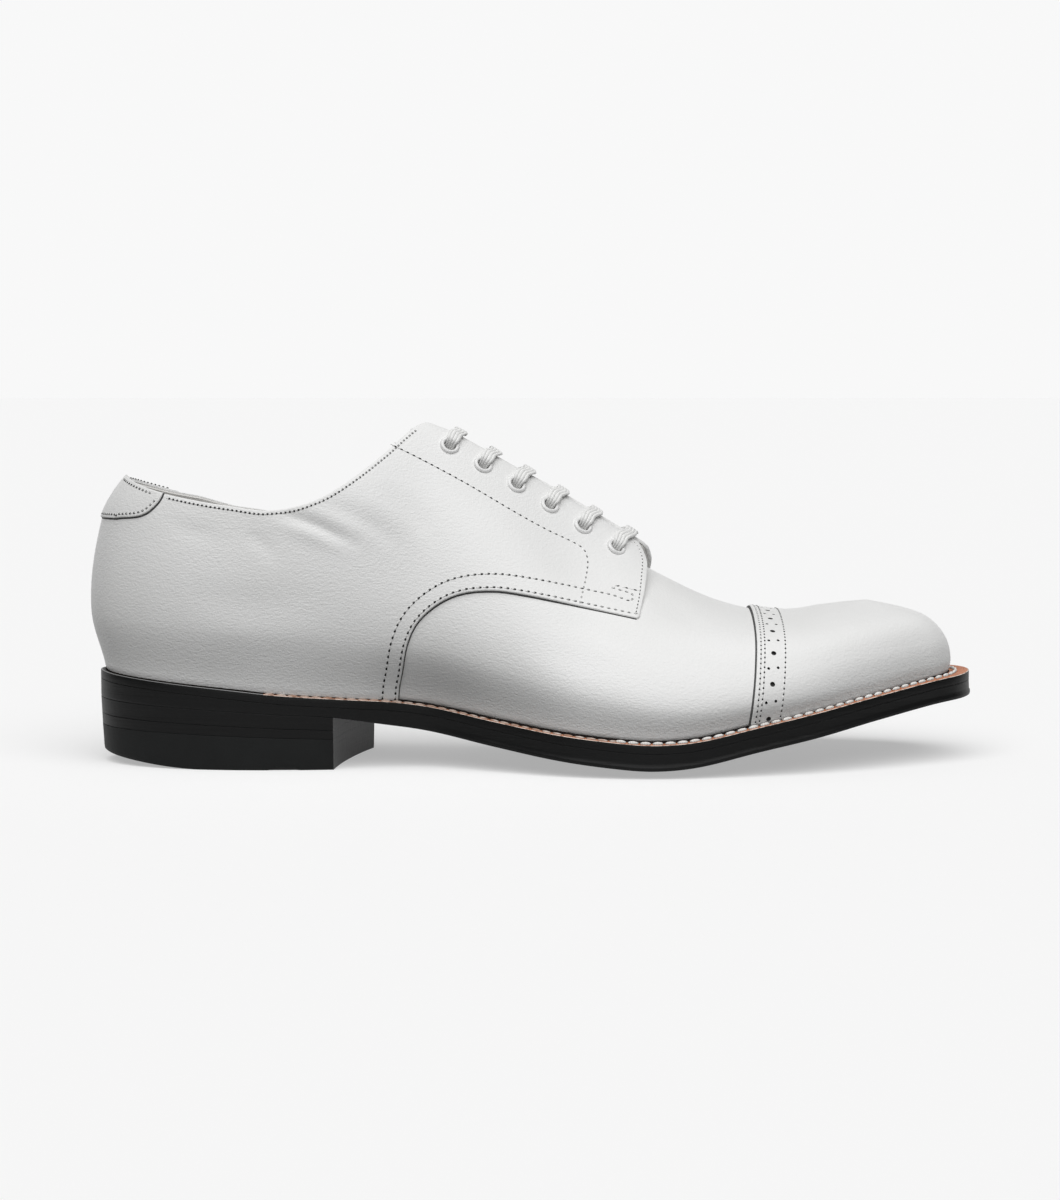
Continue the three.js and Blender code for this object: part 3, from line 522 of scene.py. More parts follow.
# Creases: a line of the side view, its height, below zero for a trough, and its width
quarter_folds = [
    ([(-86.0, 87.5), (-80.0, 85.3), (-72.0, 82.4), (-66.0, 79.4), (-59.5, 76.6)], -0.75, 2.3),
    ([(-84.0, 83.6), (-76.0, 81.0), (-68.0, 77.5), (-62.0, 74.0)], 0.45, 2.6),
    ([(-78.0, 88.5), (-70.0, 85.8), (-62.0, 82.0), (-55.0, 78.5)], 0.35, 2.4),
    ([(-68.0, 90.5), (-60.0, 86.5), (-51.0, 80.5), (-45.0, 75.0)], -0.32, 2.6),
    ([(-57.0, 93.0), (-49.0, 87.0), (-40.0, 79.0)], 0.3, 3.2),
    ([(-50.0, 97.0), (-41.0, 88.0), (-33.0, 78.0)], -0.3, 3.4),
    ([(-122.0, 84.0), (-114.0, 80.5), (-104.0, 78.5)], -0.22, 3.0),
    ([(-96.0, 80.5), (-90.0, 77.0), (-85.0, 71.0)], -0.3, 2.8),
    ([(-118.0, 60.0), (-95.0, 57.0), (-70.0, 58.5)], -0.28, 5.5),
    ([(-112.0, 48.0), (-90.0, 46.5), (-66.0, 47.0)], 0.25, 4.5),
]
vamp_folds = [
    ([(10.0, 52.0), (28.0, 46.0), (46.0, 40.0)], -0.22, 3.5),
    ([(-6.0, 44.0), (16.0, 38.0), (40.0, 33.0)], -0.2, 4.5),
    ([(38.0, 62.0), (50.0, 54.0), (58.0, 47.0)], -0.25, 3.2),
]
for line, depth, width in quarter_folds:
    peaked.crease(lateral, line, depth, width)
    peaked.crease(medial, [(x - 3, z - 2) for x, z in line], 0.7 * depth, width)
for line, depth, width in vamp_folds:
    plain.crease(lateral, line, depth, width)
    plain.crease(medial, line, depth, width)
for leather in (plain, peaked):
    leather.normal = net_normals(leather.point)


# Half the throat's opening, 9 mm at the collar and 5 mm in front, and the distance outside it
def outside_throat(point, front):
    x = point[..., 0]
    share = np.clip((x - throat_start) / (vamp_end - throat_start), 0, 1.2)
    middle = np.interp(x, ridge_line[:, 0], ridge_line[:, 1])
    aside = np.abs(point[..., 1] - middle) - (9 - 4 * share) / 2
    beyond = np.maximum(x - front, throat_back - x)
    return np.maximum(np.maximum(aside, beyond), throat_floor - point[..., 2])


# The triangles cut along one level of the field. Points close to the cut first move onto it.
def cut(points, normals, field, faces, fixed, level):
    for closing in (True, False):
        height = field - level
        height[np.abs(height) < 1e-7] = 0
        sides = np.sort(np.vstack([faces[:, :2], faces[:, 1:], faces[:, ::2]]), axis=1)
        a, b = np.unique(sides, axis=0).T
        crossed = height[a] * height[b] < 0
        a, b = a[crossed], b[crossed]
        share = height[a] / (height[a] - height[b])
        if closing:
            near = np.concatenate([a, b])
            goal = np.concatenate([b, a])
            share = np.concatenate([share, 1 - share])
            pick = (share < 0.3) & ~fixed[near]
            order = np.argsort(-share[pick])
            near, goal, share = near[pick][order], goal[pick][order], share[pick][order][:, None]
            moved = points[near] + (points[goal] - points[near]) * share
            turned = normals[near] + (normals[goal] - normals[near]) * share
            points[near], normals[near] = moved, turned
            field[near] = level
            fixed[near] = True
    count = len(points)
    share = share[:, None]
    points = np.vstack([points, points[a] + (points[b] - points[a]) * share])
    normals = np.vstack([normals, normals[a] + (normals[b] - normals[a]) * share])
    field = np.concatenate([field, np.full(len(a), float(level))])
    fixed = np.concatenate([fixed, np.ones(len(a), bool)])
    keys = a * count + b
    order = np.argsort(keys)
    keys = keys[order]

    def middle(p, q):
        key = np.minimum(p, q) * count + np.maximum(p, q)
        at = np.clip(np.searchsorted(keys, key), 0, max(len(keys) - 1, 0))
        found = keys[at] == key if len(keys) else np.zeros(len(key), bool)
        return np.where(found, count + (order[at] if len(keys) else 0), -1)

    done = []
    left = np.ones(len(faces), bool)
    for turn in range(3):
        p, q, r = np.roll(faces, -turn, axis=1).T
        pq, qr, rp = middle(p, q), middle(q, r), middle(r, p)
        two = left & (pq >= 0) & (rp >= 0) & (qr < 0)
        one = left & (pq >= 0) & (rp < 0) & (qr < 0)
        for corners, which in (((p, pq, rp), two), ((pq, q, r), two), ((pq, r, rp), two),
                               ((p, pq, r), one), ((pq, q, r), one)):
            done.append(np.stack(corners, axis=1)[which])
        left &= ~(two | one)
    return points, normals, field, np.vstack([faces[left], *done]), fixed


def away_from(points, line):
    best = np.full(len(points), 1e9)
    for p, q in zip(line[:-1], line[1:]):
        edge = q - p
        share = np.clip(((points - p) @ edge) / max(edge @ edge, 1e-9), 0, 1)
        best = np.minimum(best, np.hypot(*(points - p - share[:, None] * edge).T))
    return best


# A piece of leather: the part of a net where the field is positive, with a thickness and a soft edge.
# Along a seam the raw edge slopes out and takes the second material, a dark grey: raw edge and painted shadow
# line.
def leather_panel(name, leather, block, field, outer, inner, edge, materials, seam=None, slope=0.45):
    faces = triangles(grid_quads(net_ids[block]))
    near = field.ravel()[faces].max(axis=1) > -0.5
    used, faces = np.unique(faces[near], return_inverse=True)
    faces = faces.reshape(-1, 3)
    points = leather.point.reshape(-1, 3)[used]
    normals = leather.normal.reshape(-1, 3)[used]
    field = field.ravel()[used].astype(float)
    fixed = np.zeros(len(points), bool)
    for share in (0, 0.15, 0.5, 1):
        points, normals, field, faces, fixed = cut(points, normals, field, faces, fixed, share * edge)
    faces = faces[field[faces].mean(axis=1) > 1e-6]
    faces = faces[field[faces].min(axis=1) > -1e-6]
    used, faces = np.unique(faces, return_inverse=True)
    faces = faces.reshape(-1, 3)
    points, normals, field = points[used], normals[used], field[used]
    normals /= np.linalg.norm(normals, axis=1, keepdims=True)
    depth = 1 - np.clip(field / edge, 0, 1)
    rise = outer - edge * (1 - np.sqrt(np.maximum(1 - depth ** 2, 0)))
    top = points + normals * rise[:, None]
    bottom = points + normals * inner
    count = len(points)
    runs = np.vstack([faces[:, [0, 1]], faces[:, [1, 2]], faces[:, [2, 0]]])
    keys = np.sort(runs, axis=1)
    keys = keys[:, 0] * count + keys[:, 1]
    found, times = np.unique(keys, return_counts=True)
    rim = runs[np.isin(keys, found[times == 1])]
    a, b = rim.T
    walls = np.vstack([np.stack([b, a, a + count], axis=1), np.stack([b, a + count, b + count], axis=1)])
    # Walls along the seam get the dark grey: the raw edge's colour and a painted shadow line under the edge
    edge_coloured = np.zeros(len(walls), bool)
    if seam is not None:
        out = np.zeros_like(points)
        push = np.cross(points[b] - points[a], (normals[a] + normals[b]) / 2)
        push /= np.maximum(np.linalg.norm(push, axis=1, keepdims=True), 1e-9)
        np.add.at(out, a, push)
        np.add.at(out, b, push)
        close = away_from(points[:, [0, 2]], seam) < 0.3
        out /= np.maximum(np.linalg.norm(out, axis=1, keepdims=True), 1e-9)
        bottom += out * close[:, None] * slope
        edge_coloured = np.tile(close[a] & close[b], 2)
    shell = np.vstack([faces, faces[:, ::-1] + count, walls])
    piece = new_piece(name, np.vstack([top, bottom]), shell, materials)
    part = np.zeros(len(piece.data.polygons), np.int32)
    part[2 * len(faces):] = edge_coloured
    piece.data.polygons.foreach_set("material_index", part)
    return piece


# White kid: near white, a fine pebbled grain, a few broader wrinkles, a soft satin gloss
def kid_leather(name, color, roughness):
    kid = new_material(name, color, roughness, coat=0.12, specular=0.45)
    place = object_place(kid)
    cells = add_node(kid, "ShaderNodeTexVoronoi", [("Vector", place)], feature="F1", scale=1500)
    pebbles = relief(kid, cells.outputs["Distance"], 0.0001, 0.45)
    fine = relief(kid, noise(kid, place, 1000, 3.0, 0.4), 0.0002, 0.45, pebbles)
    slanted = object_place(kid, (1.0, 1.0, 2.6), (0, math.radians(38), 0))
    wrinkles = relief(kid, noise(kid, slanted, 560, 2.0, 0.5), 0.0003, 0.4, fine)
    use(kid, "Normal", wrinkles)
    shade = noise(kid, place, 28, 3.0)
    r, g, b = color
    use(kid, "Base Color", ramp(kid, shade, [(0.3, (r * 0.97, g * 0.97, b * 0.965)), (0.7, color)]))
    return kid


kid = kid_leather("white_kid", (0.86, 0.86, 0.855), 0.46)
side_view = {leather: leather.side() for leather in (plain, peaked)}
quarter_outline = np.vstack([
    [(-far, 0)], spline(quarter_seam), spline(facing_front), [(length_at(0.618), far), (-far, far)],
])
cap_line = spline(cap_seam)
cap_outline = np.vstack([cap_line, [(far, cap_line[-1, 1]), (far, cap_line[0, 1])]])
in_quarter = {leather: inside_outline(side_view[leather], quarter_outline) for leather in (plain, peaked)}
medial_outline = quarter_outline.copy()
medial_outline[:, 0] += 2.6 * np.clip((medial_outline[:, 0] - 20) / 12, 0, 1) * (medial_outline[:, 1] > 50)
in_medial_quarter = inside_outline(side_view[peaked], medial_outline)
in_quarter[peaked] = np.where(np.tile(net_column > steps, rows + 1), in_medial_quarter, in_quarter[peaked])
in_cap = inside_outline(side_view[plain], cap_outline)
under_quarter = 10
under_cap = 3.2


def rows_between(leather, low, high):
    x = leather.point[:, steps // 2, 0]
    return slice(int(np.searchsorted(x, low)), int(np.searchsorted(x, high)) + 1)


vamp_throat = along_leather(outside_throat(plain.point, vamp_end).ravel(), plain.point)
vamp_field = np.minimum(along_leather(under_quarter - in_quarter[plain], plain.point), vamp_throat)
vamp_field = np.minimum(vamp_field, along_leather(under_cap - in_cap, plain.point))
vamp_block = (rows_between(plain, -75, 88), slice(None))
vamp = leather_panel("vamp", plain, vamp_block, vamp_field, 0.0, -1.0, 0.35, [kid])
fit(vamp, "white_kid", "upper")


# Toe cap. A second layer of kid over the toe with a straight edge. Two rows of stitches run along the
# edge and a third one ahead of them, with a band of punched holes between, over a dark sheet of painted
# shade.
# Dark grey for raw cut edges along seams, where it also paints the shadow line under each edge, and for
# painted shade in holes
edge_and_shade = new_material("raw_edge_and_painted_shade", (0.10, 0.10, 0.10), 0.85, specular=0.2)
cap_field = along_leather(in_cap, plain.point)
toe_block = (slice(rows_between(plain, 68, 70).start, None), slice(None))
toe_cap = leather_panel("toe_cap", plain, toe_block, cap_field, 1.25, 0.02, 0.4, [kid, edge_and_shade], cap_line)
# A dark sheet under the band of holes: painted shade seen through the holes
band_shade_field = np.minimum(cap_field - 2.4, 9.5 - cap_field)
band_shade_backing = leather_panel("band_shade_backing", plain, toe_block, band_shade_field, 0.0, -0.5, 0.1, [edge_and_shade])
fit(band_shade_backing, "lining")


# Values of a net at fractional places on it
def on_net(values, i, j):
    i0 = np.clip(np.floor(i).astype(int), 0, rows - 1)
    j0 = np.clip(np.floor(j).astype(int), 0, across - 1)
    s, t = (i - i0)[:, None], (j - j0)[:, None]
    near = values[i0, j0] * (1 - t) + values[i0, j0 + 1] * t
    over = values[i0 + 1, j0] * (1 - t) + values[i0 + 1, j0 + 1] * t
    return near * (1 - s) + over * s


# A line right over the shoe at a distance ahead of the cap's edge
def row_over(leather, ahead, rise):
    order = np.argsort(cap_line[:, 1])
    edge_x = np.interp(leather.point[..., 2], cap_line[order, 1], cap_line[order, 0])
    reach = leather.point[..., 0] - edge_x - ahead
    near = rows_between(leather, 55, 110)
    i = np.array([np.interp(0, reach[near, j], np.arange(near.start, near.stop)) for j in range(across + 1)])
    j = np.arange(across + 1)
    normal = on_net(leather.normal, i, j)
    return on_net(leather.point, i, j) + normal * rise, normal


# A line of the side view, (x, z) in millimetres, laid onto one side of the leather
def line_on(leather, side, line, rise):
    line = np.asarray(line, float)
    shift = 0 if side == lateral else steps
    part = leather.point[:, shift:shift + steps + 1]
    flat = part[..., [0, 2]].reshape(-1, 2)
    start = np.array([np.argmin(((flat - target) ** 2).sum(axis=1)) for target in line])
    i, j = start // (steps + 1) * 1.0, start % (steps + 1) * 1.0
    slope_i = np.gradient(part, axis=0)
    slope_j = np.gradient(part, axis=1)
    wide = [np.zeros_like(leather.point) for _ in range(2)]
    wide[0][:, shift:shift + steps + 1] = slope_i
    wide[1][:, shift:shift + steps + 1] = slope_j
    for _ in range(8):
        miss = line - on_net(leather.point, i, j + shift)[:, [0, 2]]
        a, b = on_net(wide[0], i, j + shift)[:, [0, 2]].T
        c, d = on_net(wide[1], i, j + shift)[:, [0, 2]].T
        size = a * d - b * c
        size = np.where(np.abs(size) < 1e-3, 1e-3 * np.where(size < 0, -1, 1), size)
        i = np.clip(i + np.clip((miss[:, 0] * d - miss[:, 1] * c) / size, -2, 2), 0, rows - 1e-3)
        j = np.clip(j + np.clip((a * miss[:, 1] - b * miss[:, 0]) / size, -2, 2), 0, steps - 1e-3)
    normal = on_net(leather.normal, i, j + shift)
    return on_net(leather.point, i, j + shift) + normal * rise, normal


# Geometry Nodes: one bead at each step of a line, lying along it. Threads and the dark beads of painted hole
# shade use it.
def group_input(tree, kind, name, value=None):
    socket = tree.interface.new_socket(name, in_out="INPUT", socket_type=kind)
    if value is not None:
        socket.default_value = value
    return socket.identifier


def new_node(tree, kind, links=(), **values):
    node = tree.nodes.new(kind)
    for name, value in values.items():
        setattr(node, name, value)
    for socket, source in links:
        if isinstance(source, (int, float, tuple, str)):
            node.inputs[socket].default_value = source
        else:
            tree.links.new(source, node.inputs[socket])
    return node.outputs


stitch_tree = bpy.data.node_groups.new("stitch_row", "GeometryNodeTree")
stitch_inputs = {"Line": group_input(stitch_tree, "NodeSocketGeometry", "Line")}
stitch_sizes = {"Pitch": 0.002, "Start": 0.0, "Length": 0.001, "Width": 0.0005, "Height": 0.0004}
for word, value in stitch_sizes.items():
    stitch_inputs[word] = group_input(stitch_tree, "NodeSocketFloat", word, value)
stitch_inputs["Material"] = group_input(stitch_tree, "NodeSocketMaterial", "Material")
stitch_tree.interface.new_socket("Stitches", in_out="OUTPUT", socket_type="NodeSocketGeometry")
given = new_node(stitch_tree, "NodeGroupInput")
curve = new_node(stitch_tree, "GeometryNodeMeshToCurve", [("Mesh", given["Line"])])
trimmed = new_node(stitch_tree, "GeometryNodeTrimCurve",
                   [("Curve", curve["Curve"]), (4, given["Start"]), (5, 10.0)], mode="LENGTH")
stepped = new_node(stitch_tree, "GeometryNodeResampleCurve",
                   [("Curve", trimmed["Curve"]), ("Length", given["Pitch"])], mode="LENGTH")
tangent = new_node(stitch_tree, "GeometryNodeInputTangent")
lift = new_node(stitch_tree, "GeometryNodeInputNamedAttribute", [("Name", "lift")], data_type="FLOAT_VECTOR")
lying = new_node(stitch_tree, "FunctionNodeAlignRotationToVector", [("Vector", tangent["Tangent"])], axis="X")
facing = new_node(stitch_tree, "FunctionNodeAlignRotationToVector",
                  [("Rotation", lying["Rotation"]), ("Vector", lift["Attribute"])], axis="Z", pivot_axis="X")
bead = new_node(stitch_tree, "GeometryNodeMeshUVSphere", [("Segments", 8), ("Rings", 5), ("Radius", 0.5)])
soft = new_node(stitch_tree, "GeometryNodeSetShadeSmooth", [("Geometry", bead["Mesh"])])
size = new_node(stitch_tree, "ShaderNodeCombineXYZ",
                [("X", given["Length"]), ("Y", given["Width"]), ("Z", given["Height"])])
laid = new_node(stitch_tree, "GeometryNodeInstanceOnPoints",
                [("Points", stepped["Curve"]), ("Instance", soft["Geometry"]),
                 ("Rotation", facing["Rotation"]), ("Scale", size["Vector"])])
real = new_node(stitch_tree, "GeometryNodeRealizeInstances", [("Geometry", laid["Instances"])])
finished = new_node(stitch_tree, "GeometryNodeSetMaterial",
                    [("Geometry", real["Geometry"]), ("Material", given["Material"])])
new_node(stitch_tree, "NodeGroupOutput", [("Stitches", finished["Geometry"])])


# A mesh of lines or points that carries the leather's direction, run through a tree and made plain
def grown(name, paths, tree, inputs, values, material, joined=True, sizes=None):
    points = np.vstack([path[0] for path in paths])
    lifts = np.vstack([path[1] for path in paths])
    edges = []
    total = 0
    for path in paths:
        count = len(path[0])
        if joined:
            edges += [(total + n, total + n + 1) for n in range(count - 1)]
        total += count
    mesh = bpy.data.meshes.new(name)
    mesh.from_pydata(((points + frame_shift) / 1000).tolist(), edges, [])
    lift_data = mesh.attributes.new("lift", "FLOAT_VECTOR", "POINT").data
    lift_data.foreach_set("vector", lifts.astype(np.float32).ravel())
    if sizes is not None:
        size_data = mesh.attributes.new("size", "FLOAT", "POINT").data
        size_data.foreach_set("value", (sizes / 1000).astype(np.float32))
    source = bpy.data.objects.new(name + "_line", mesh)
    bpy.context.scene.collection.objects.link(source)
    modifier = source.modifiers.new("grow", "NODES")
    modifier.node_group = tree
    for word, value in values.items():
        modifier[inputs[word]] = value
    modifier[inputs["Material"]] = material
    source.update_tag()
    shown = source.evaluated_get(bpy.context.evaluated_depsgraph_get())
    result = bpy.data.objects.new(name, bpy.data.meshes.new_from_object(shown))
    bpy.data.objects.remove(source)
    bpy.context.scene.collection.objects.link(result)
    return result


cotton_thread = new_material("cotton_thread", (0.83, 0.83, 0.82), 0.75)


def twisted(thread, scale, turn, distortion, depth, strength):
    links = [("Vector", object_place(thread, (1, 1, 1), turn))]
    twist = add_node(thread, "ShaderNodeTexWave", links, scale=scale, distortion=distortion)
    use(thread, "Normal", relief(thread, twist.outputs["Fac"], depth, strength))


twisted(cotton_thread, 900, (0.6, 0.5, 0), 1.0, 0.0001, 0.6)
# Near-black beads laid on the leather: painted shade of the needle holes
needle_hole_shade = new_material("needle_hole_shade", (0.035, 0.035, 0.035), 0.9, specular=0.1)
mottled(needle_hole_shade, 400, 2.0, (0.02, 0.02, 0.02), (0.06, 0.06, 0.06))


def bead_sizes(pitch, start, length, width, height):
    words = ("Pitch", "Start", "Length", "Width", "Height")
    return {word: size / 1000 for word, size in zip(words, (pitch, start, length, width, height))}


# A row of thread with a dark bead between every two stitches, painted shade of the needle hole. Sizes are in
# millimetres.
def stitched(name, paths, pitch, width=0.42, hole=0.62, dash=0.42):
    thread = bead_sizes(pitch, 0.0, 0.74 * pitch, width, 0.34)
    fit(grown(name, paths, stitch_tree, stitch_inputs, thread, cotton_thread), "white_cotton")
    hole_shade_sizes = bead_sizes(pitch, 0.5 * pitch, dash * pitch, hole, 0.3)
    fit(grown(name + "_holes", paths, stitch_tree, stitch_inputs, hole_shade_sizes, needle_hole_shade), "white_kid")


# Geometry Nodes: round punches at points, which are then cut out of the leather
punch_tree = bpy.data.node_groups.new("punches", "GeometryNodeTree")
punch_inputs = {"Points": group_input(punch_tree, "NodeSocketGeometry", "Points")}
punch_inputs["Depth"] = group_input(punch_tree, "NodeSocketFloat", "Depth", 0.004)
punch_inputs["Material"] = group_input(punch_tree, "NodeSocketMaterial", "Material")
punch_tree.interface.new_socket("Punches", in_out="OUTPUT", socket_type="NodeSocketGeometry")
given = new_node(punch_tree, "NodeGroupInput")
spots = new_node(punch_tree, "GeometryNodeMeshToPoints", [("Mesh", given["Points"])])
lift = new_node(punch_tree, "GeometryNodeInputNamedAttribute", [("Name", "lift")], data_type="FLOAT_VECTOR")
wide = new_node(punch_tree, "GeometryNodeInputNamedAttribute", [("Name", "size")], data_type="FLOAT")
upright = new_node(punch_tree, "FunctionNodeAlignRotationToVector", [("Vector", lift["Attribute"])], axis="Z")
pin = new_node(punch_tree, "GeometryNodeMeshCylinder", [("Vertices", 20), ("Radius", 0.5), ("Depth", 1.0)])
size = new_node(punch_tree, "ShaderNodeCombineXYZ",
                [("X", wide["Attribute"]), ("Y", wide["Attribute"]), ("Z", given["Depth"])])
laid = new_node(punch_tree, "GeometryNodeInstanceOnPoints",
                [("Points", spots["Points"]), ("Instance", pin["Mesh"]),
                 ("Rotation", upright["Rotation"]), ("Scale", size["Vector"])])
real = new_node(punch_tree, "GeometryNodeRealizeInstances", [("Geometry", laid["Instances"])])
finished = new_node(punch_tree, "GeometryNodeSetMaterial",
                    [("Geometry", real["Geometry"]), ("Material", given["Material"])])
new_node(punch_tree, "NodeGroupOutput", [("Punches", finished["Geometry"])])


def punch(piece, points, normals, sizes, depth, material):
    deep = {"Depth": depth / 1000}
    cutter = grown("cutter", [(points, normals)], punch_tree, punch_inputs, deep, material, False, sizes)
    modifier = piece.modifiers.new("punch", "BOOLEAN")
    modifier.operation = "DIFFERENCE"
    modifier.solver = "EXACT"
    modifier.material_mode = "TRANSFER"
    modifier.object = cutter
    shown = piece.evaluated_get(bpy.context.evaluated_depsgraph_get())
    mesh = bpy.data.meshes.new_from_object(shown)
    piece.modifiers.clear()
    piece.data = mesh
    bpy.data.objects.remove(cutter)


band_middle = 5.6
band_line, _ = row_over(plain, band_middle, 0.6)
band_run = np.concatenate([[0], np.cumsum(np.linalg.norm(np.diff(band_line, axis=0), axis=1))])
large_count = int(round((band_run[-1] - 5.0) / 12.0))
large_at = np.linspace(2.5, band_run[-1] - 2.5, large_count + 1)
small_at = (large_at[1:] + large_at[:-1]) / 2
hole_places = [(at, band_middle, 1.75) for at in large_at]
hole_places += [(at, band_middle + aside, 1.0) for aside in (-1.6, 1.6) for at in small_at]
holes, hole_normals, hole_sizes = [], [], []
for at, ahead, width in hole_places:
    line, normal = row_over(plain, ahead, 0.6)
    share = np.interp(at, band_run, net_column)
    holes.append([np.interp(share, net_column, line[:, n]) for n in range(3)])
    hole_normals.append([np.interp(share, net_column, normal[:, n]) for n in range(3)])
    hole_sizes.append(width)
# The holes' walls take the dark grey: painted shade inside the holes
punch(toe_cap, np.array(holes), np.array(hole_normals), np.array(hole_sizes), 3.0, edge_and_shade)
fit(toe_cap, "white_kid", "toe_cap")
cap_rows = [row_over(plain, ahead, 1.27) for ahead in (1.3, 2.6, 9.6)]
stitched("cap_stitches", cap_rows, 1.9)


# Quarters. Two panels of kid that meet at the back seam, run round to the throat and lap over the
# vamp with a curved edge. In front they stand up like a tent over the tongue and carry the eyelets.
collar_edge = [
    (-0.200, 0.862), (0.006, 0.854), (0.024, 0.844), (0.045, 0.824), (0.073, 0.803), (0.122, 0.779),
    (0.160, 0.765), (0.195, 0.754), (0.230, 0.765), (0.262, 0.793), (0.296, 0.846), (0.330, 0.914),
    (0.350, 0.960), (0.366, 0.992), (0.380, 1.010), (0.388, 1.060),
]
collar_line = spline(collar_edge)

# The medial side of the collar is a little lower
low_collar = collar_line.copy()
collar_x = collar_line[:, 0]
lower = 1.4 * np.clip((collar_x + 145) / 6, 0, 1) + 1.6 * np.clip((collar_x + 117) / 12, 0, 1)
low_collar[:, 1] -= lower * np.clip((-36 - collar_x) / 20, 0, 1)
collar_of = {lateral: collar_line, medial: low_collar}
below_collar = []
for side in (lateral, medial):
    line = collar_of[side]
    below = np.vstack([line, [(line[-1, 0] + far, far), (far, -far), (-far, -far)]])
    below_collar.append(inside_outline(side_view[peaked], below))
under_collar = np.where(np.tile(net_column >= steps, rows + 1), below_collar[medial], below_collar[lateral])
collar_field = along_leather(under_collar, peaked.point)
panel_field = along_leather(in_quarter[peaked], peaked.point)
throat_field = along_leather(outside_throat(peaked.point, facing_end).ravel(), peaked.point)
quarter_field = np.minimum(np.minimum(panel_field, collar_field), throat_field)
side_words = ((lateral, "lateral"), (medial, "medial"))
halves = {lateral: slice(0, steps + 1), medial: slice(steps, None)}
quarter_rows = rows_between(peaked, -far, 46)
seam_line = spline(quarter_seam)
quarters = []
for side, word in side_words:
    block = (quarter_rows, halves[side])
    quarters.append(leather_panel(
        f"quarter_{word}", peaked, block, quarter_field, 1.1, 0.02, 0.45, [kid, edge_and_shade], seam_line))


# A line of the side view moved sideways, to its left where the distance is positive
def beside(line, distance):
    along = np.gradient(line, axis=0)
    along /= np.hypot(*along.T)[:, None]
    return line + np.stack([-along[:, 1], along[:, 0]], axis=1) * distance


# The same line with a point about every millimetre
def dense(line):
    line = np.asarray(line, float)
    run = np.concatenate([[0], np.cumsum(np.hypot(*np.diff(line, axis=0).T))])
    at = np.linspace(0, run[-1], int(run[-1]) + 2)
    return np.stack([np.interp(at, run, line[:, 0]), np.interp(at, run, line[:, 1])], axis=1)


def rounded(points):
    points = np.asarray(points, float)
    shares = np.stack([points[:, 0] / last_length + 0.5, points[:, 1] / upper_height], axis=1)
    return spline(shares)


# Rows of stitches: two along the curved seam, one up the front edge, one beside the eyelets with a
# short bar across, and one under the collar
sewn_seam = seam_line[seam_line[:, 1] > welt_top(seam_line[:, 0]) - 1]
first_row = beside(sewn_seam, 1.1)
first_row = np.vstack([first_row[first_row[:, 0] < 35.2], [(35.4, 52.2)]])
second_row = beside(sewn_seam, 5.4)
second_row = np.vstack([second_row[second_row[:, 0] < 28], [(34.3, 55.8)], [(34.4, 58.4)], [(28.0, 60.3)]])
front_row = rounded([
    (35.4, 52.2), (36.9, 58), (37.9, 65.2), (38.2, 69), (37.3, 72.2), (35.5, 74.6), (33.0, 76.6),
])
bar_row = np.array([(36.6, 59.2), (28.0, 61.3), (28.0, 60.3)])
facing_row = rounded([
    (-47.1, 108.6), (-36.4, 103.4), (-21.9, 95.6), (-5.5, 85.9), (4.9, 80.1), (14, 75.7), (17.9, 73.2),
    (19.3, 69.9), (19.1, 66.1), (17.8, 60.5), (16.6, 56.2),
])


def on_quarter(side, *lines):
    return [line_on(peaked, side, dense(line), 1.12) for line in lines]


for side, word in side_words:
    collar_row = beside(collar_of[side], -1.3)
    collar_row = collar_row[(collar_row[:, 0] > -123.5) & (collar_row[:, 0] < -39)]
    stitched(f"seam_stitches_{word}", on_quarter(side, first_row, second_row), 2.3, 0.42, 0.74, 0.58)
    stitched(f"facing_stitches_{word}", on_quarter(side, facing_row, bar_row), 2.3, 0.36, 0.56, 0.55)
    stitched(f"front_stitches_{word}", on_quarter(side, front_row), 1.7, 0.36, 0.45, 0.45)
    stitched(f"collar_stitches_{word}", on_quarter(side, collar_row), 1.5, 0.3, 0.75, 0.62)


# Back tab. A small curved strap of kid over the top of the back seam. It is sewn round its edge and
# keeps the seam from opening where the foot goes in.
tab_edge = [
    (-0.200, 0.700), (-0.006, 0.712), (0.020, 0.716), (0.045, 0.724), (0.060, 0.747), (0.072, 0.790),
    (0.085, 0.900),
]
tab_shift = np.array([2.0, 1.2])
tab_line = spline(tab_edge) + tab_shift
tab_outline = np.vstack([tab_line, [(tab_line[0, 0], tab_line[-1, 1])]])
in_tab = along_leather(inside_outline(side_view[peaked], tab_outline), peaked.point)
tab_field = np.minimum(in_tab, collar_field)
tab_block = (rows_between(peaked, -far, -112), slice(None))
back_tab = leather_panel("back_tab", peaked, tab_block, tab_field, 1.9, 1.12, 0.35, [kid, edge_and_shade], tab_line)
fit(back_tab, "white_kid", "back_tab")
tab_row = beside(tab_line, 1.1)
tab_row = tab_row[(tab_row[:, 0] > -146.5) & (tab_row[:, 1] < 90)]
tab_top = beside(collar_line, -1.3)
tab_top = tab_top[(tab_top[:, 0] > -138.5) & (tab_top[:, 0] < -127)]
tab_rows = []
for side in (lateral, medial):
    tab_rows += [line_on(peaked, side, dense(line), 1.92) for line in (tab_row, tab_top)]
stitched("tab_stitches", tab_rows, 1.7, 0.36, 0.8, 0.62)


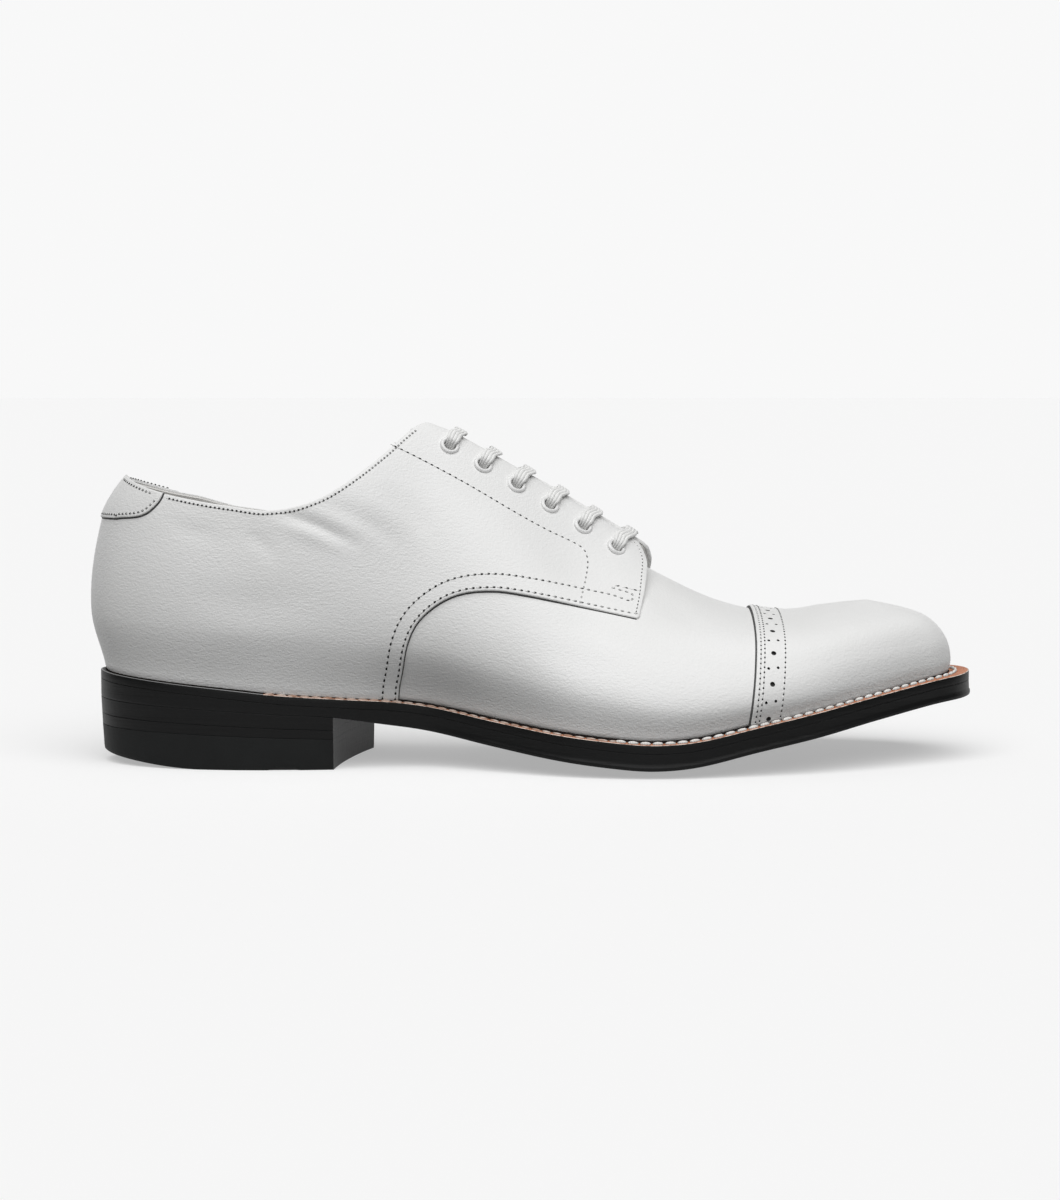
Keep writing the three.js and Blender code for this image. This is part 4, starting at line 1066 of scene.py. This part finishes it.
# Linings. Thin soft leather glued inside quarters and vamp, and trimmed back a little from the edges
# of the collar and the facings.
lining_leather = new_material("lining_leather", (0.70, 0.69, 0.67), 0.7, specular=0.35)
grained(lining_leather, 1100, 4.0, 0.00015)
mottled(lining_leather, 30, 3.0, (0.64, 0.63, 0.61), (0.72, 0.71, 0.69))
lining_field = np.minimum(quarter_field - 0.35, panel_field - 0.9)
linings = []
for side, word in side_words:
    block = (quarter_rows, halves[side])
    linings.append(leather_panel(
        f"lining_{word}", peaked, block, lining_field, -0.02, -1.6, 0.3, [lining_leather]))
vamp_lining_field = along_leather(under_quarter - 1 - in_quarter[plain], plain.point)
vamp_lining_field = np.minimum(vamp_lining_field, vamp_throat - 0.5)
vamp_lining_block = (slice(vamp_block[0].start, None), slice(None))
vamp_lining = leather_panel(
    "vamp_lining", plain, vamp_lining_block, vamp_lining_field, -1.05, -1.6, 0.2, [lining_leather])
fit(vamp_lining, "lining")


# Tongue. A flap of kid sewn to the vamp at the front of the throat. It lies under the facings and
# the lace and keeps them off the foot.
tongue_edge = [
    (0.613, 0.420), (0.613, 0.900), (0.420, 1.200), (0.362, 1.200), (0.362, 0.940), (0.400, 0.800),
    (0.500, 0.640), (0.560, 0.530),
]
tongue_outline = np.array([(length_at(at), up * upper_height) for at, up in tongue_edge])
tongue_field = along_leather(inside_outline(side_view[peaked], tongue_outline), peaked.point)
tongue_block = (rows_between(peaked, -60, 48), slice(None))
tongue = leather_panel("tongue", peaked, tongue_block, tongue_field, -4.6, -6.2, 0.5, [kid])
fit(tongue, "white_kid", "tongue")


# Eyelets. Twelve brass rings in white enamel, clenched through the facings, six a side, counted from
# the top. Their holes are cut out of the quarters and the linings.
eyelet_rows = rows_between(peaked, -60, 40)
eyelet_ridge = peaked.point[eyelet_rows, steps]
eyelet_drop = 6.6
eyelet_count = 6


def ridge_row(x):
    return np.interp(x, eyelet_ridge[:, 0], np.arange(eyelet_rows.start, eyelet_rows.stop))


def ridge_at(x):
    return on_net(peaked.point, np.array([ridge_row(x)]), np.array([float(steps)]))[0]


# An eyelet's middle on the leather, and its directions: out, along the facing and up towards the throat
def place_at(side, index):
    x = length_at(0.405 + (0.6 - 0.405) * (index - 1) / (eyelet_count - 1))
    j = np.arange(steps + 1.0) if side == lateral else np.arange(across, steps - 1.0, -1)
    count = np.arange(len(j))
    line = on_net(peaked.point, np.full(len(j), ridge_row(x)), j)

    def at(share):
        return np.array([np.interp(share, count, line[:, n]) for n in range(3)])

    share = np.interp(ridge_at(x)[2] - eyelet_drop, line[:, 2], count)
    along = ridge_at(x + 3.1) - ridge_at(x - 3.1)
    along /= np.linalg.norm(along)
    normal = np.cross(along, at(share + 1.5) - at(share - 1.5))
    normal *= np.sign(normal[2]) / np.linalg.norm(normal)
    up = np.cross(normal, along)
    up *= np.sign(up[2]) / np.linalg.norm(up)
    return at(share) + normal * 1.1, normal, along, up


eyelet_numbers = range(1, eyelet_count + 1)
places = {side: [place_at(side, index) for index in eyelet_numbers] for side in (lateral, medial)}
enamel = new_material("white_enamel", (0.84, 0.84, 0.835), 0.28, coat=0.4)
grained(enamel, 600, 3.0, 0.00005, 0.4)
mottled(enamel, 300, 2.0, (0.78, 0.78, 0.775), (0.85, 0.85, 0.845))

# A ring's section: radius and height above the leather
ring_profile = [
    (2.1, -1.8), (2.1, 0.25), (2.2, 0.5), (2.4, 0.68), (2.7, 0.74), (3.0, 0.68), (3.3, 0.48), (3.5, 0.2),
    (3.55, -0.1), (3.4, -0.3), (2.6, -0.35), (2.55, -1.8),
]
ring_sides = 36
eyelet_hole = 5.3
for side, word in side_words:
    points, faces = [], []
    count = len(ring_profile)
    for centre, normal, along, up in places[side]:
        start = len(points)
        for n in range(ring_sides):
            angle = 2 * math.pi * n / ring_sides
            out = along * math.cos(angle) + up * math.sin(angle)
            points += [centre + out * radius + normal * height for radius, height in ring_profile]
        for n in range(ring_sides):
            here = start + n * count
            following = start + (n + 1) % ring_sides * count
            for k in range(count):
                after = (k + 1) % count
                faces.append((here + k, here + after, following + after))
                faces.append((here + k, following + after, following + k))
    rings = new_piece(f"eyelets_{word}", points, faces, [enamel])
    fit(rings, "white_enamel", *[f"eyelet_{word}_{n}" for n in eyelet_numbers])
    centres = np.array([place[0] for place in places[side]])
    normals = np.array([place[1] for place in places[side]])
    for piece, material in ((quarters[side], kid), (linings[side], lining_leather)):
        punch(piece, centres, normals, np.full(eyelet_count, eyelet_hole), 9.0, material)
for quarter, lining in zip(quarters, linings):
    fit(quarter, "white_kid", "upper")
    fit(lining, "lining")


# Lace. One flat ribbed cotton lace in straight bars from side to side, with its hidden runs under the
# facings. The photo shows no bow or ends: the ends stop inside at the top eyelets.
lace_cotton = new_material("lace_cotton", (0.85, 0.85, 0.84), 0.8, sheen=0.15)
grained(lace_cotton, 1400, 3.0, 0.0001, 0.5)
mottled(lace_cotton, 500, 3.0, (0.78, 0.78, 0.77), (0.87, 0.87, 0.86))
lace_width = 3.4
lace_thickness = 1.15


# Faces of a tube with closed ends, the walls first
def tube_faces(length, count):
    ids = np.arange(length * count).reshape(length, count)
    walls = triangles(grid_quads(np.concatenate([ids, ids[:, :1]], axis=1)))
    fan = np.arange(1, count - 1)
    start = np.stack([np.zeros_like(fan), fan + 1, fan], axis=1)
    end = np.stack([np.zeros_like(fan), fan, fan + 1], axis=1) + (length - 1) * count
    return np.vstack([walls, start, end])


# A flat band with four ribs through points, each with its width direction
def lace_band(path, wide, widths):
    path = np.asarray(path, float)
    tangent = np.gradient(path, axis=0)
    tangent /= np.linalg.norm(tangent, axis=1, keepdims=True)
    thick = np.cross(tangent, wide)
    thick /= np.linalg.norm(thick, axis=1, keepdims=True)
    across_at = np.linspace(-1, 1, 25)
    body = np.sqrt(np.maximum(1 - np.abs(across_at) ** 5, 0))
    ribs = 0.6 + 0.4 * np.abs(np.sin(2 * np.pi * (across_at + 1)))
    outline = [(u, v) for u, v in zip(across_at, body * ribs)]
    outline += [(u, -v) for u, v in zip(across_at[-2:0:-1], (body * ribs)[-2:0:-1])]
    outline = np.array(outline)
    points = path[:, None] + wide[:, None] * outline[None, :, :1] * np.reshape(widths, (-1, 1, 1)) / 2
    points = points + thick[:, None] * outline[None, :, 1:] * lace_thickness / 2
    points = points.reshape(-1, 3)
    return points, right_side_out(points, tube_faces(len(path), len(outline)))


def smooth_path(points, between=6):
    points = np.asarray(points, float)
    padded = np.vstack([2 * points[:1] - points[1:2], points, 2 * points[-1:] - points[-2:-1]])
    path = []
    for n in range(len(points) - 1):
        p0, p1, p2, p3 = padded[n:n + 4]
        for s in np.arange(between) / between:
            path.append(p1 + (p2 - p0) / 2 * s + (2 * p0 - 5 * p1 + 4 * p2 - p3) / 2 * s * s
                        + (3 * p1 - p0 - 3 * p2 + p3) / 2 * s ** 3)
    return np.array(path + [points[-1]])


# Up through an eyelet, over its ring and along the leather to the facing's edge
def climb(side, place):
    centre, normal, along, up = place
    bend = [(0.2, -4.2), (0.3, -2.6), (0.4, -1.2), (0.6, 0.0), (1.1, 0.95), (2.1, 1.5)]
    points = [centre + up * ahead + normal * height for ahead, height in bend]
    reach = np.linspace(3.4, 12, 40)
    laid, laid_normal = line_on(peaked, side, centre[[0, 2]] + reach[:, None] * up[[0, 2]], 0.0)
    free = outside_throat(laid, facing_end) > -0.4
    last = int(np.argmin(free)) if not free.all() else len(free)
    for n in np.unique(np.linspace(0, last - 1, 4).astype(int)):
        rise = 1.1 + (1.4 if n < last * 0.4 else 1.3)
        points.append(laid[n] + laid_normal[n] * rise + along * 0.3 * (n / last) * reach[n])
    return points


lace_runs = []
for left, right in zip(places[lateral], places[medial]):
    one, other = climb(lateral, left), climb(medial, right)
    bridge = (one[-1] + other[-1]) / 2 + np.array([0, 0, 0.6])
    path = smooth_path(one + [bridge] + other[::-1])
    wide = left[2] + right[2]
    wide = np.tile(wide / np.linalg.norm(wide), (len(path), 1))
    inside = np.minimum(np.arange(len(path)), np.arange(len(path))[::-1]) / 6
    widths = lace_width + 1.4 * np.clip((inside - 3.2) / 2.2, 0, 1)
    lace_runs.append(lace_band(path, wide, widths))

# The hidden runs: side, first eyelet and last eyelet
hidden_runs = (
    (lateral, 6, 5), (medial, 5, 3), (lateral, 3, 1),
    (medial, 6, 4), (lateral, 4, 2), (medial, 2, 1),
)
for side, first, last in hidden_runs:
    stops = [places[side][n - 1] for n in range(first, last - 1, -1)]
    path = smooth_path([centre - normal * 3.9 + up * 0.2 for centre, normal, along, up in stops])
    wide = np.array([np.mean([stop[3] for stop in stops], axis=0)] * len(path))
    wide /= np.linalg.norm(wide, axis=1, keepdims=True)
    lace_runs.append(lace_band(path, wide, np.full(len(path), lace_width)))
lace_points, lace_faces, total = [], [], 0
for points, faces in lace_runs:
    lace_points.append(points)
    lace_faces.append(faces + total)
    total += len(points)
lace = new_piece("lace", np.vstack(lace_points), np.vstack(lace_faces), [lace_cotton])
fit(lace, "white_cotton", "lace")


# Welt. A strip of tan leather, 3 mm thick, sewn to the upper's lower edge from the waist round the toe.
# Its top stays bare, with a thin near-black ridge along the upper as painted shade of the crease, and its
# outer edge is inked black.
# White waxed thread holds it to the outsole.
tan_leather = new_material("tan_welt", (0.60, 0.21, 0.095), 0.5, specular=0.35)
grained(tan_leather, 900, 4.0, 0.0002, 0.6)
mottled(tan_leather, 220, 3.0, (0.46, 0.16, 0.075), (0.60, 0.24, 0.12))
# A pale, broken line along the welt's outer top corner: painted highlight where the corner catches the light
welt_rim_highlight = new_material("welt_rim_highlight", (0.72, 0.56, 0.46), 0.5, specular=0.35)
mottled(welt_rim_highlight, 500, 3.0, (0.30, 0.22, 0.18), (0.80, 0.68, 0.60), 0.40, 0.52)
# Near-black for the crease along the upper: painted shade, as a ridge on the welt and on the rand's inner top
crease_shade = new_material("painted_crease_shade", (0.012, 0.009, 0.008), 0.9, specular=0.1)
mottled(crease_shade, 300, 2.0, (0.008, 0.006, 0.006), (0.02, 0.015, 0.013))


# Inked leather on edge: fine layers along the edge, a dull polish
def edge_leather(name, color, roughness):
    edge_coloured = new_material(name, color, roughness, specular=0.2)
    layers = noise(edge_coloured, object_place(edge_coloured, (0.02, 0.02, 1.0)), 900, 3.0)
    first = relief(edge_coloured, layers, 0.0002, 0.5)
    rough = relief(edge_coloured, noise(edge_coloured, object_place(edge_coloured), 450, 4.0), 0.0002, 0.35, first)
    use(edge_coloured, "Normal", rough)
    tone = noise(edge_coloured, object_place(edge_coloured, (0.15, 0.15, 1.0)), 60, 3.0)
    dark = tuple(0.6 * value for value in color)
    use(edge_coloured, "Base Color", ramp(edge_coloured, tone, [(0.3, dark), (0.7, color)]))
    return edge_coloured


black_edge = edge_leather("black_sole_leather", (0.0035, 0.0037, 0.0038), 0.45)


# Where the sole's edge on one side passes a length
def distance_of(side, x):
    d = np.linspace(0, path_length * 0.8, 640)
    return float(np.interp(x, plan_point(side, d)[:, 0], d))


# A strip along the sole's edge. Each corner of its section has its reach out and its drop below the welt.
def strip(name, path, corners, materials, indices):
    lines = []
    for side, distance in path:
        edge = last_at(side, distance)[:, 9]
        ring = []
        for reach, drop in corners:
            plan = edge_line(side, distance, reach(edge))
            ring.append(np.column_stack([plan, welt_top(plan[:, 0]) - drop]))
        lines.append(np.stack(ring, axis=1))
    points = np.vstack(lines)
    length, count = points.shape[:2]
    piece = new_piece(name, points.reshape(-1, 3), tube_faces(length, count), materials)
    walls = np.tile(np.tile(indices, length - 1), 2)
    part = np.concatenate([walls, np.full(2 * (count - 2), indices[-1])])
    piece.data.polygons.foreach_set("material_index", part.astype(np.int32))
    return piece


def inner_reach(edge):
    return -1.6 + 0 * edge


def reach_of(share, inset=0.0):
    return lambda edge: share * edge - inset


# The welt and the rand meet at one length, with a joint of 0.04 mm. The section's corners run from
# the inner top edge outwards and down, and each stretch between two of them has its material.
welt_end = length_at(0.193)
front_of = {side: distance_of(side, welt_end + 0.02) for side in (lateral, medial)}
back_of = {side: distance_of(side, welt_end - 0.02) for side in (lateral, medial)}
all_rows = row_distances(420)
forward = {}
behind = {}
for side in (lateral, medial):
    forward[side] = np.concatenate([[front_of[side]], all_rows[all_rows > front_of[side] + 0.2]])
    behind[side] = np.concatenate([all_rows[all_rows < back_of[side] - 0.2], [back_of[side]]])
welt_path = [(lateral, forward[lateral]), (medial, forward[medial][::-1][1:])]
welt_corners = [
    (inner_reach, -0.8), (reach_of(0.1), -0.8), (reach_of(0.18), 0.0), (reach_of(0.26), 0.15),
    (reach_of(0.6), 0.15), (reach_of(0.66), 0.0), (reach_of(1, 0.4), 0.0), (reach_of(1, 0.08), 0.14),
    (reach_of(1), 0.34), (reach_of(1), 2.88), (reach_of(1, 0.12), 2.98), (inner_reach, 2.98),
]
# The first two stretches, a ridge 0.8 mm above the welt along the upper, are near-black painted crease shade
welt_parts = [2, 2, 0, 0, 0, 0, 1, 3, 3, 3, 0, 0]
# The seventh stretch, the outer top corner, takes the pale painted highlight
welt = strip("welt", welt_path, welt_corners, [tan_leather, welt_rim_highlight, crease_shade, black_edge], welt_parts)
fit(welt, "tan_welt", "welt")

# The photo shows no tan light on the white kid above, so the welt throws none
welt.visible_diffuse = False

waxed_thread = new_material("waxed_thread", (0.84, 0.82, 0.79), 0.6)
twisted(waxed_thread, 500, (0.3, 0.4, 0.5), 1.5, 0.0002, 0.5)
mottled(waxed_thread, 260, 2.0, (0.74, 0.70, 0.66), (0.87, 0.86, 0.84))
# Tan-brown thread for the waist stitches: painted shade of white thread lying in the crease
shaded_thread = new_material("shaded_thread", (0.50, 0.33, 0.25), 0.6)
mottled(shaded_thread, 260, 2.0, (0.36, 0.20, 0.13), (0.62, 0.52, 0.46), 0.35, 0.65)


# A row along the middle of the welt, from one distance to another
def welt_row(side, start, end, rise):
    distance = np.linspace(start, end, 320)
    plan = edge_line(side, distance, 0.43 * last_at(side, distance)[:, 9])
    return np.column_stack([plan, welt_top(plan[:, 0]) + rise])


# Full white stitches round the forefoot, and small, tight ones along the waist, tan-brown as painted shade on
# white thread
toe_rows = []
waist_rows = []
tight_end = length_at(0.60)
for side in (lateral, medial):
    toe_rows.append(welt_row(side, distance_of(side, tight_end + 1), path_length, 0.12))
    waist_ends = distance_of(side, length_at(0.2)), distance_of(side, tight_end - 1)
    waist_rows.append(welt_row(side, *waist_ends, 0.0))
toe_row = np.vstack([toe_rows[0], toe_rows[1][::-1][1:]])
upward = np.tile([0.0, 0.0, 1.0], (len(toe_row), 1))
toe_sizes = bead_sizes(4.1, 0.0, 3.7, 1.2, 1.4)
waist_sizes = bead_sizes(3.9, 0.0, 3.7, 0.9, 0.9)
toe_paths = [(toe_row, upward)]
waist_paths = [(row, upward[:len(row)]) for row in waist_rows]
welt_stitches = grown("welt_stitches", toe_paths, stitch_tree, stitch_inputs, toe_sizes, waxed_thread)
fit(welt_stitches, "white_cotton")
waist_stitches = grown("waist_stitches", waist_paths, stitch_tree, stitch_inputs, waist_sizes, shaded_thread)
fit(waist_stitches, "white_cotton")


# Heel rand. A strip of leather that carries the welt's edge on round the heel seat, nailed down and
# inked black. Its top rim is painted grey as a highlight line, and its inner top near-black as painted crease
# shade.
# A grey rim along the rand's top: painted highlight line
rand_rim_highlight = edge_leather("rand_rim_highlight", (0.34, 0.34, 0.34), 0.45)
rand_path = [(lateral, behind[lateral][::-1]), (medial, behind[medial][1:])]
rand_corners = [
    (inner_reach, 0.0), (reach_of(0.5), 0.0), (reach_of(1, 0.7), 0.0), (reach_of(1, 0.12), 0.12),
    (reach_of(1), 0.4), (reach_of(1), 2.88), (reach_of(1, 0.12), 2.98), (inner_reach, 2.98),
]
# The inner top stretch is near-black painted crease shade
rand_parts = [2, 0, 1, 0, 0, 0, 0, 0]
rand = strip("heel_rand", rand_path, rand_corners, [black_edge, rand_rim_highlight, crease_shade], rand_parts)
fit(rand, "black_sole_leather", "heel_rand")


# Outsole. One piece of stout leather from heel to toe, sewn to the welt. Its edge is trimmed, inked
# and burnished, with a bead left along the bottom. It is crowned underneath and turned up at the toe.
def sole_height(rise):
    return lambda x: np.maximum(sole_under(x) + rise, 0)


def under_welt(drop):
    return lambda x: welt_top(x) - drop


# The bead fades out where the edge narrows at the heel seat
def beaded(out, inset=0.0):
    return lambda edge: edge + out * np.clip((edge - 3.2) / 0.9, 0, 1) - inset


# A share of the way down the plain part of the edge
def down_edge(share):
    return lambda x: (welt_top(x) - 3.14) * (1 - share) + share * (sole_under(x) + 1.7)


sole_loops = [
    (inner_reach, under_welt(3.02)), (reach_of(1, 0.12), under_welt(3.02)),
    (reach_of(1), under_welt(3.14)), (beaded(0.01), down_edge(0.3)), (beaded(0.09), down_edge(0.7)),
    (beaded(0.15), sole_height(1.7)), (beaded(0.42), sole_height(1.35)), (beaded(0.46), sole_height(0.7)),
    (beaded(0.4, 0.05), sole_height(0.15)), (beaded(0.2, 0.2), sole_height(0.0)),
]
sole_points, sole_faces = layer(sole_loops, 10, sole_crown, 320)
sole_points[:, 2] = np.maximum(sole_points[:, 2], 0)
outsole = new_piece("outsole", sole_points, sole_faces, [black_edge])
fit(outsole, "black_sole_leather", "outsole")


# Heel lifts and top piece. Two lifts of stacked leather and a rubber top piece, glued and nailed
# under the heel seat, trimmed together and inked. The front face, the breast, is hollow and left rough.
breast_corner = length_at(0.271)
heel_columns = 14
heel_rows = 90


# The breast from above: skewed forward to the medial side, and hollow in the middle
def breast(y):
    aside = y / (ball_width / 2)
    return breast_corner + 9 * (aside + 1) - 4.5 * (1 - aside * aside)


# One level of the heel as a net of points: the outer edge with its reach, closed in front by the breast
def heel_net(reach, height):
    row_shares = 1 - np.cos(np.linspace(0, np.pi / 2, heel_rows + 1))
    edges = []
    for side in (lateral, medial):
        d = np.linspace(0, path_length * 0.5, 500)
        plan = edge_line(side, d, reach(last_at(side, d)[:, 9]))
        distance = row_shares * float(np.interp(0, plan[:, 0] - breast(plan[:, 1]), d))
        edges.append(edge_line(side, distance, reach(last_at(side, distance)[:, 9])))
    share = np.linspace(0, 1, heel_columns + 1)[None, :, None]
    net = edges[0][:, None] * (1 - share) + edges[1][:, None] * share
    front = breast(net[-1, :, 1]) - net[-1, :, 0]
    net[..., 0] += front[None] * (np.linspace(0, 1, heel_rows + 1) ** 6)[:, None]
    return np.dstack([net, height(net[..., 0])])


def heel_piece(name, levels, materials):
    nets = [heel_net(*level) for level in levels]
    rim = [(n, 0) for n in range(heel_rows, -1, -1)]
    rim += [(n, heel_columns) for n in range(1, heel_rows + 1)]
    outer = len(rim)
    rim += [(heel_rows, n) for n in range(heel_columns - 1, 0, -1)]
    i, j = np.array(rim).T
    points = [net[i, j] for net in nets]
    count = len(rim)
    ids = np.arange(count * len(nets)).reshape(len(nets), count)
    ids = np.concatenate([ids, ids[:, :1]], axis=1)
    faces = [triangles(grid_quads(ids))]
    index = np.tile(np.tile(np.arange(count) >= outer - 1, len(nets) - 1), 2).astype(int)
    total = count * len(nets)
    for end in (0, -1):
        net_id = np.zeros((heel_rows + 1, heel_columns + 1), int)
        inner = nets[end][1:-1, 1:-1].reshape(-1, 3)
        net_id[1:-1, 1:-1] = total + np.arange(len(inner)).reshape(heel_rows - 1, heel_columns - 1)
        net_id[i, j] = ids[end, :-1]
        net_id[0] = net_id[0, 0]
        total += len(inner)
        points.append(inner)
        cap = triangles(grid_quads(net_id if end == 0 else net_id[:, ::-1]))
        faces.append(cap)
        index = np.concatenate([index, np.zeros(len(cap), int)])
    piece = new_piece(name, np.vstack(points), np.vstack(faces), materials)
    piece.data.polygons.foreach_set("material_index", index.astype(np.int32))
    return piece


# Dark grey breast leather: rough, and greyer than the inked edges partly as a painted reflection of the floor
breast_leather = edge_leather("breast_leather", (0.06, 0.06, 0.06), 0.5)
heel_joint = 0.03
bevel = 0.14
flat_end = breast_corner - 45


# The heel stands flat from its breast to here, and is worn upwards behind it
def heel_under(x):
    behind_flat = np.maximum(0, (flat_end - x) / (flat_end - length_at(0)))
    return 3.7 * behind_flat ** 1.5


# A height that is a share of the way up to the outsole
def heel_level(share, drop):
    return lambda x: (sole_under(x) - heel_joint) * share - drop


lift_levels = (
    ("heel_lift_1", 1.0, 0.75, 0.0, 0.25, 0.0),
    ("heel_lift_2", 0.75, 0.58, 0.25, 0.42, heel_joint),
)
for name, above, below, inset_above, inset_below, joint in lift_levels:
    levels = [
        (reach_of(1, inset_above + bevel), heel_level(above, joint)),
        (reach_of(1, inset_above), heel_level(above, joint + bevel)),
        (reach_of(1, inset_below), heel_level(below, -bevel)),
        (reach_of(1, inset_below + bevel), heel_level(below, 0.0)),
    ]
    fit(heel_piece(name, levels, [black_edge, breast_leather]), "black_sole_leather", name)

heel_rubber = new_material("heel_rubber", (0.009, 0.0098, 0.0098), 0.6, specular=0.2)
grained(heel_rubber, 700, 4.0, 0.0002, 0.4)
mottled(heel_rubber, 50, 3.0, (0.006, 0.0065, 0.0065), (0.011, 0.012, 0.012))


# The top piece's lower edge has a small worn notch
def worn_under(x):
    return heel_under(x) + 0.7 * np.clip((x + 87.4) / 0.8, 0, 1) * np.clip((-78.2 - x) / 0.8, 0, 1)


top_levels = [
    (reach_of(1, 0.42 + bevel), heel_level(0.58, heel_joint)),
    (reach_of(1, 0.42), heel_level(0.58, heel_joint + bevel)),
    (reach_of(1, 0.8), lambda x: heel_under(x) + 2.6),
    (reach_of(1, 0.86), lambda x: heel_under(x) + 1.2),
    (reach_of(1, 1.0), lambda x: worn_under(x) + 0.25),
    (reach_of(1, 1.3), worn_under),
    (reach_of(1, 2.2), heel_under),
]
top_piece = heel_piece("heel_top_piece", top_levels, [heel_rubber, breast_leather])
fit(top_piece, "black_rubber", "heel_top_piece")


# Floor and light. A pale seamless floor that glows a little, and a soft studio light: one broad lamp
# high on the camera's side, and a pale backdrop that the far side and the gloss pick up.
floor_mesh = bpy.data.meshes.new("floor")
floor_mesh.from_pydata([(-40, -40, 0), (40, -40, 0), (40, 40, 0), (-40, 40, 0)], [], [(0, 1, 2, 3)])
floor_paper = new_material("floor_paper", (0.57, 0.57, 0.57), 1.0, specular=0.0)
paper_shader = floor_paper.node_tree.nodes["Principled BSDF"]
paper_shader.inputs["Emission Color"].default_value = (1, 1, 1, 1)
paper_shader.inputs["Emission Strength"].default_value = 0.4
floor_mesh.materials.append(floor_paper)
floor = bpy.data.objects.new("floor", floor_mesh)
bpy.context.scene.collection.objects.link(floor)
floor.visible_diffuse = False

world = bpy.data.worlds.new("studio")
world.use_nodes = True
bpy.context.scene.world = world
tree = world.node_tree
place = tree.nodes.new("ShaderNodeTexCoord")
split = tree.nodes.new("ShaderNodeSeparateXYZ")
height = tree.nodes.new("ShaderNodeMapRange")
height.inputs["From Min"].default_value = -1
shades = tree.nodes.new("ShaderNodeValToRGB")
shades.color_ramp.elements[0].position = 0.0
shades.color_ramp.elements[0].color = (0.04, 0.04, 0.04, 1)
shades.color_ramp.elements[1].position = 1.0
shades.color_ramp.elements[1].color = (0.16, 0.16, 0.16, 1)
for at, shade in ((0.42, 0.05), (0.48, 0.94), (0.62, 0.94), (0.72, 0.14)):
    shades.color_ramp.elements.new(at).color = (shade, shade, shade, 1)
away = tree.nodes.new("ShaderNodeMapRange")
away.inputs["From Min"].default_value = 0.3
away.inputs["From Max"].default_value = 0.7
room = tree.nodes.new("ShaderNodeMix")
room.data_type = "RGBA"
room.inputs["A"].default_value = (0.08, 0.08, 0.08, 1)
tree.links.new(place.outputs["Generated"], split.inputs[0])
tree.links.new(split.outputs["Z"], height.inputs["Value"])
tree.links.new(height.outputs["Result"], shades.inputs["Fac"])
tree.links.new(split.outputs["Y"], away.inputs["Value"])
tree.links.new(away.outputs["Result"], room.inputs["Factor"])
tree.links.new(shades.outputs["Color"], room.inputs["B"])
rays = tree.nodes.new("ShaderNodeLightPath")
seen = tree.nodes.new("ShaderNodeMix")
seen.data_type = "RGBA"
seen.inputs["B"].default_value = (0.94, 0.94, 0.94, 1)
tree.links.new(rays.outputs["Is Camera Ray"], seen.inputs["Factor"])
tree.links.new(room.outputs["Result"], seen.inputs["A"])
tree.links.new(seen.outputs["Result"], tree.nodes["Background"].inputs["Color"])

lamp_data = bpy.data.lights.new("broad_lamp", "SUN")
lamp_data.energy = 2.95
lamp_data.angle = math.radians(75)
lamp = bpy.data.objects.new("broad_lamp", lamp_data)
lamp.rotation_euler = (math.radians(32), 0, 0)
bpy.context.scene.collection.objects.link(lamp)
bpy.context.scene.view_settings.view_transform = "Standard"
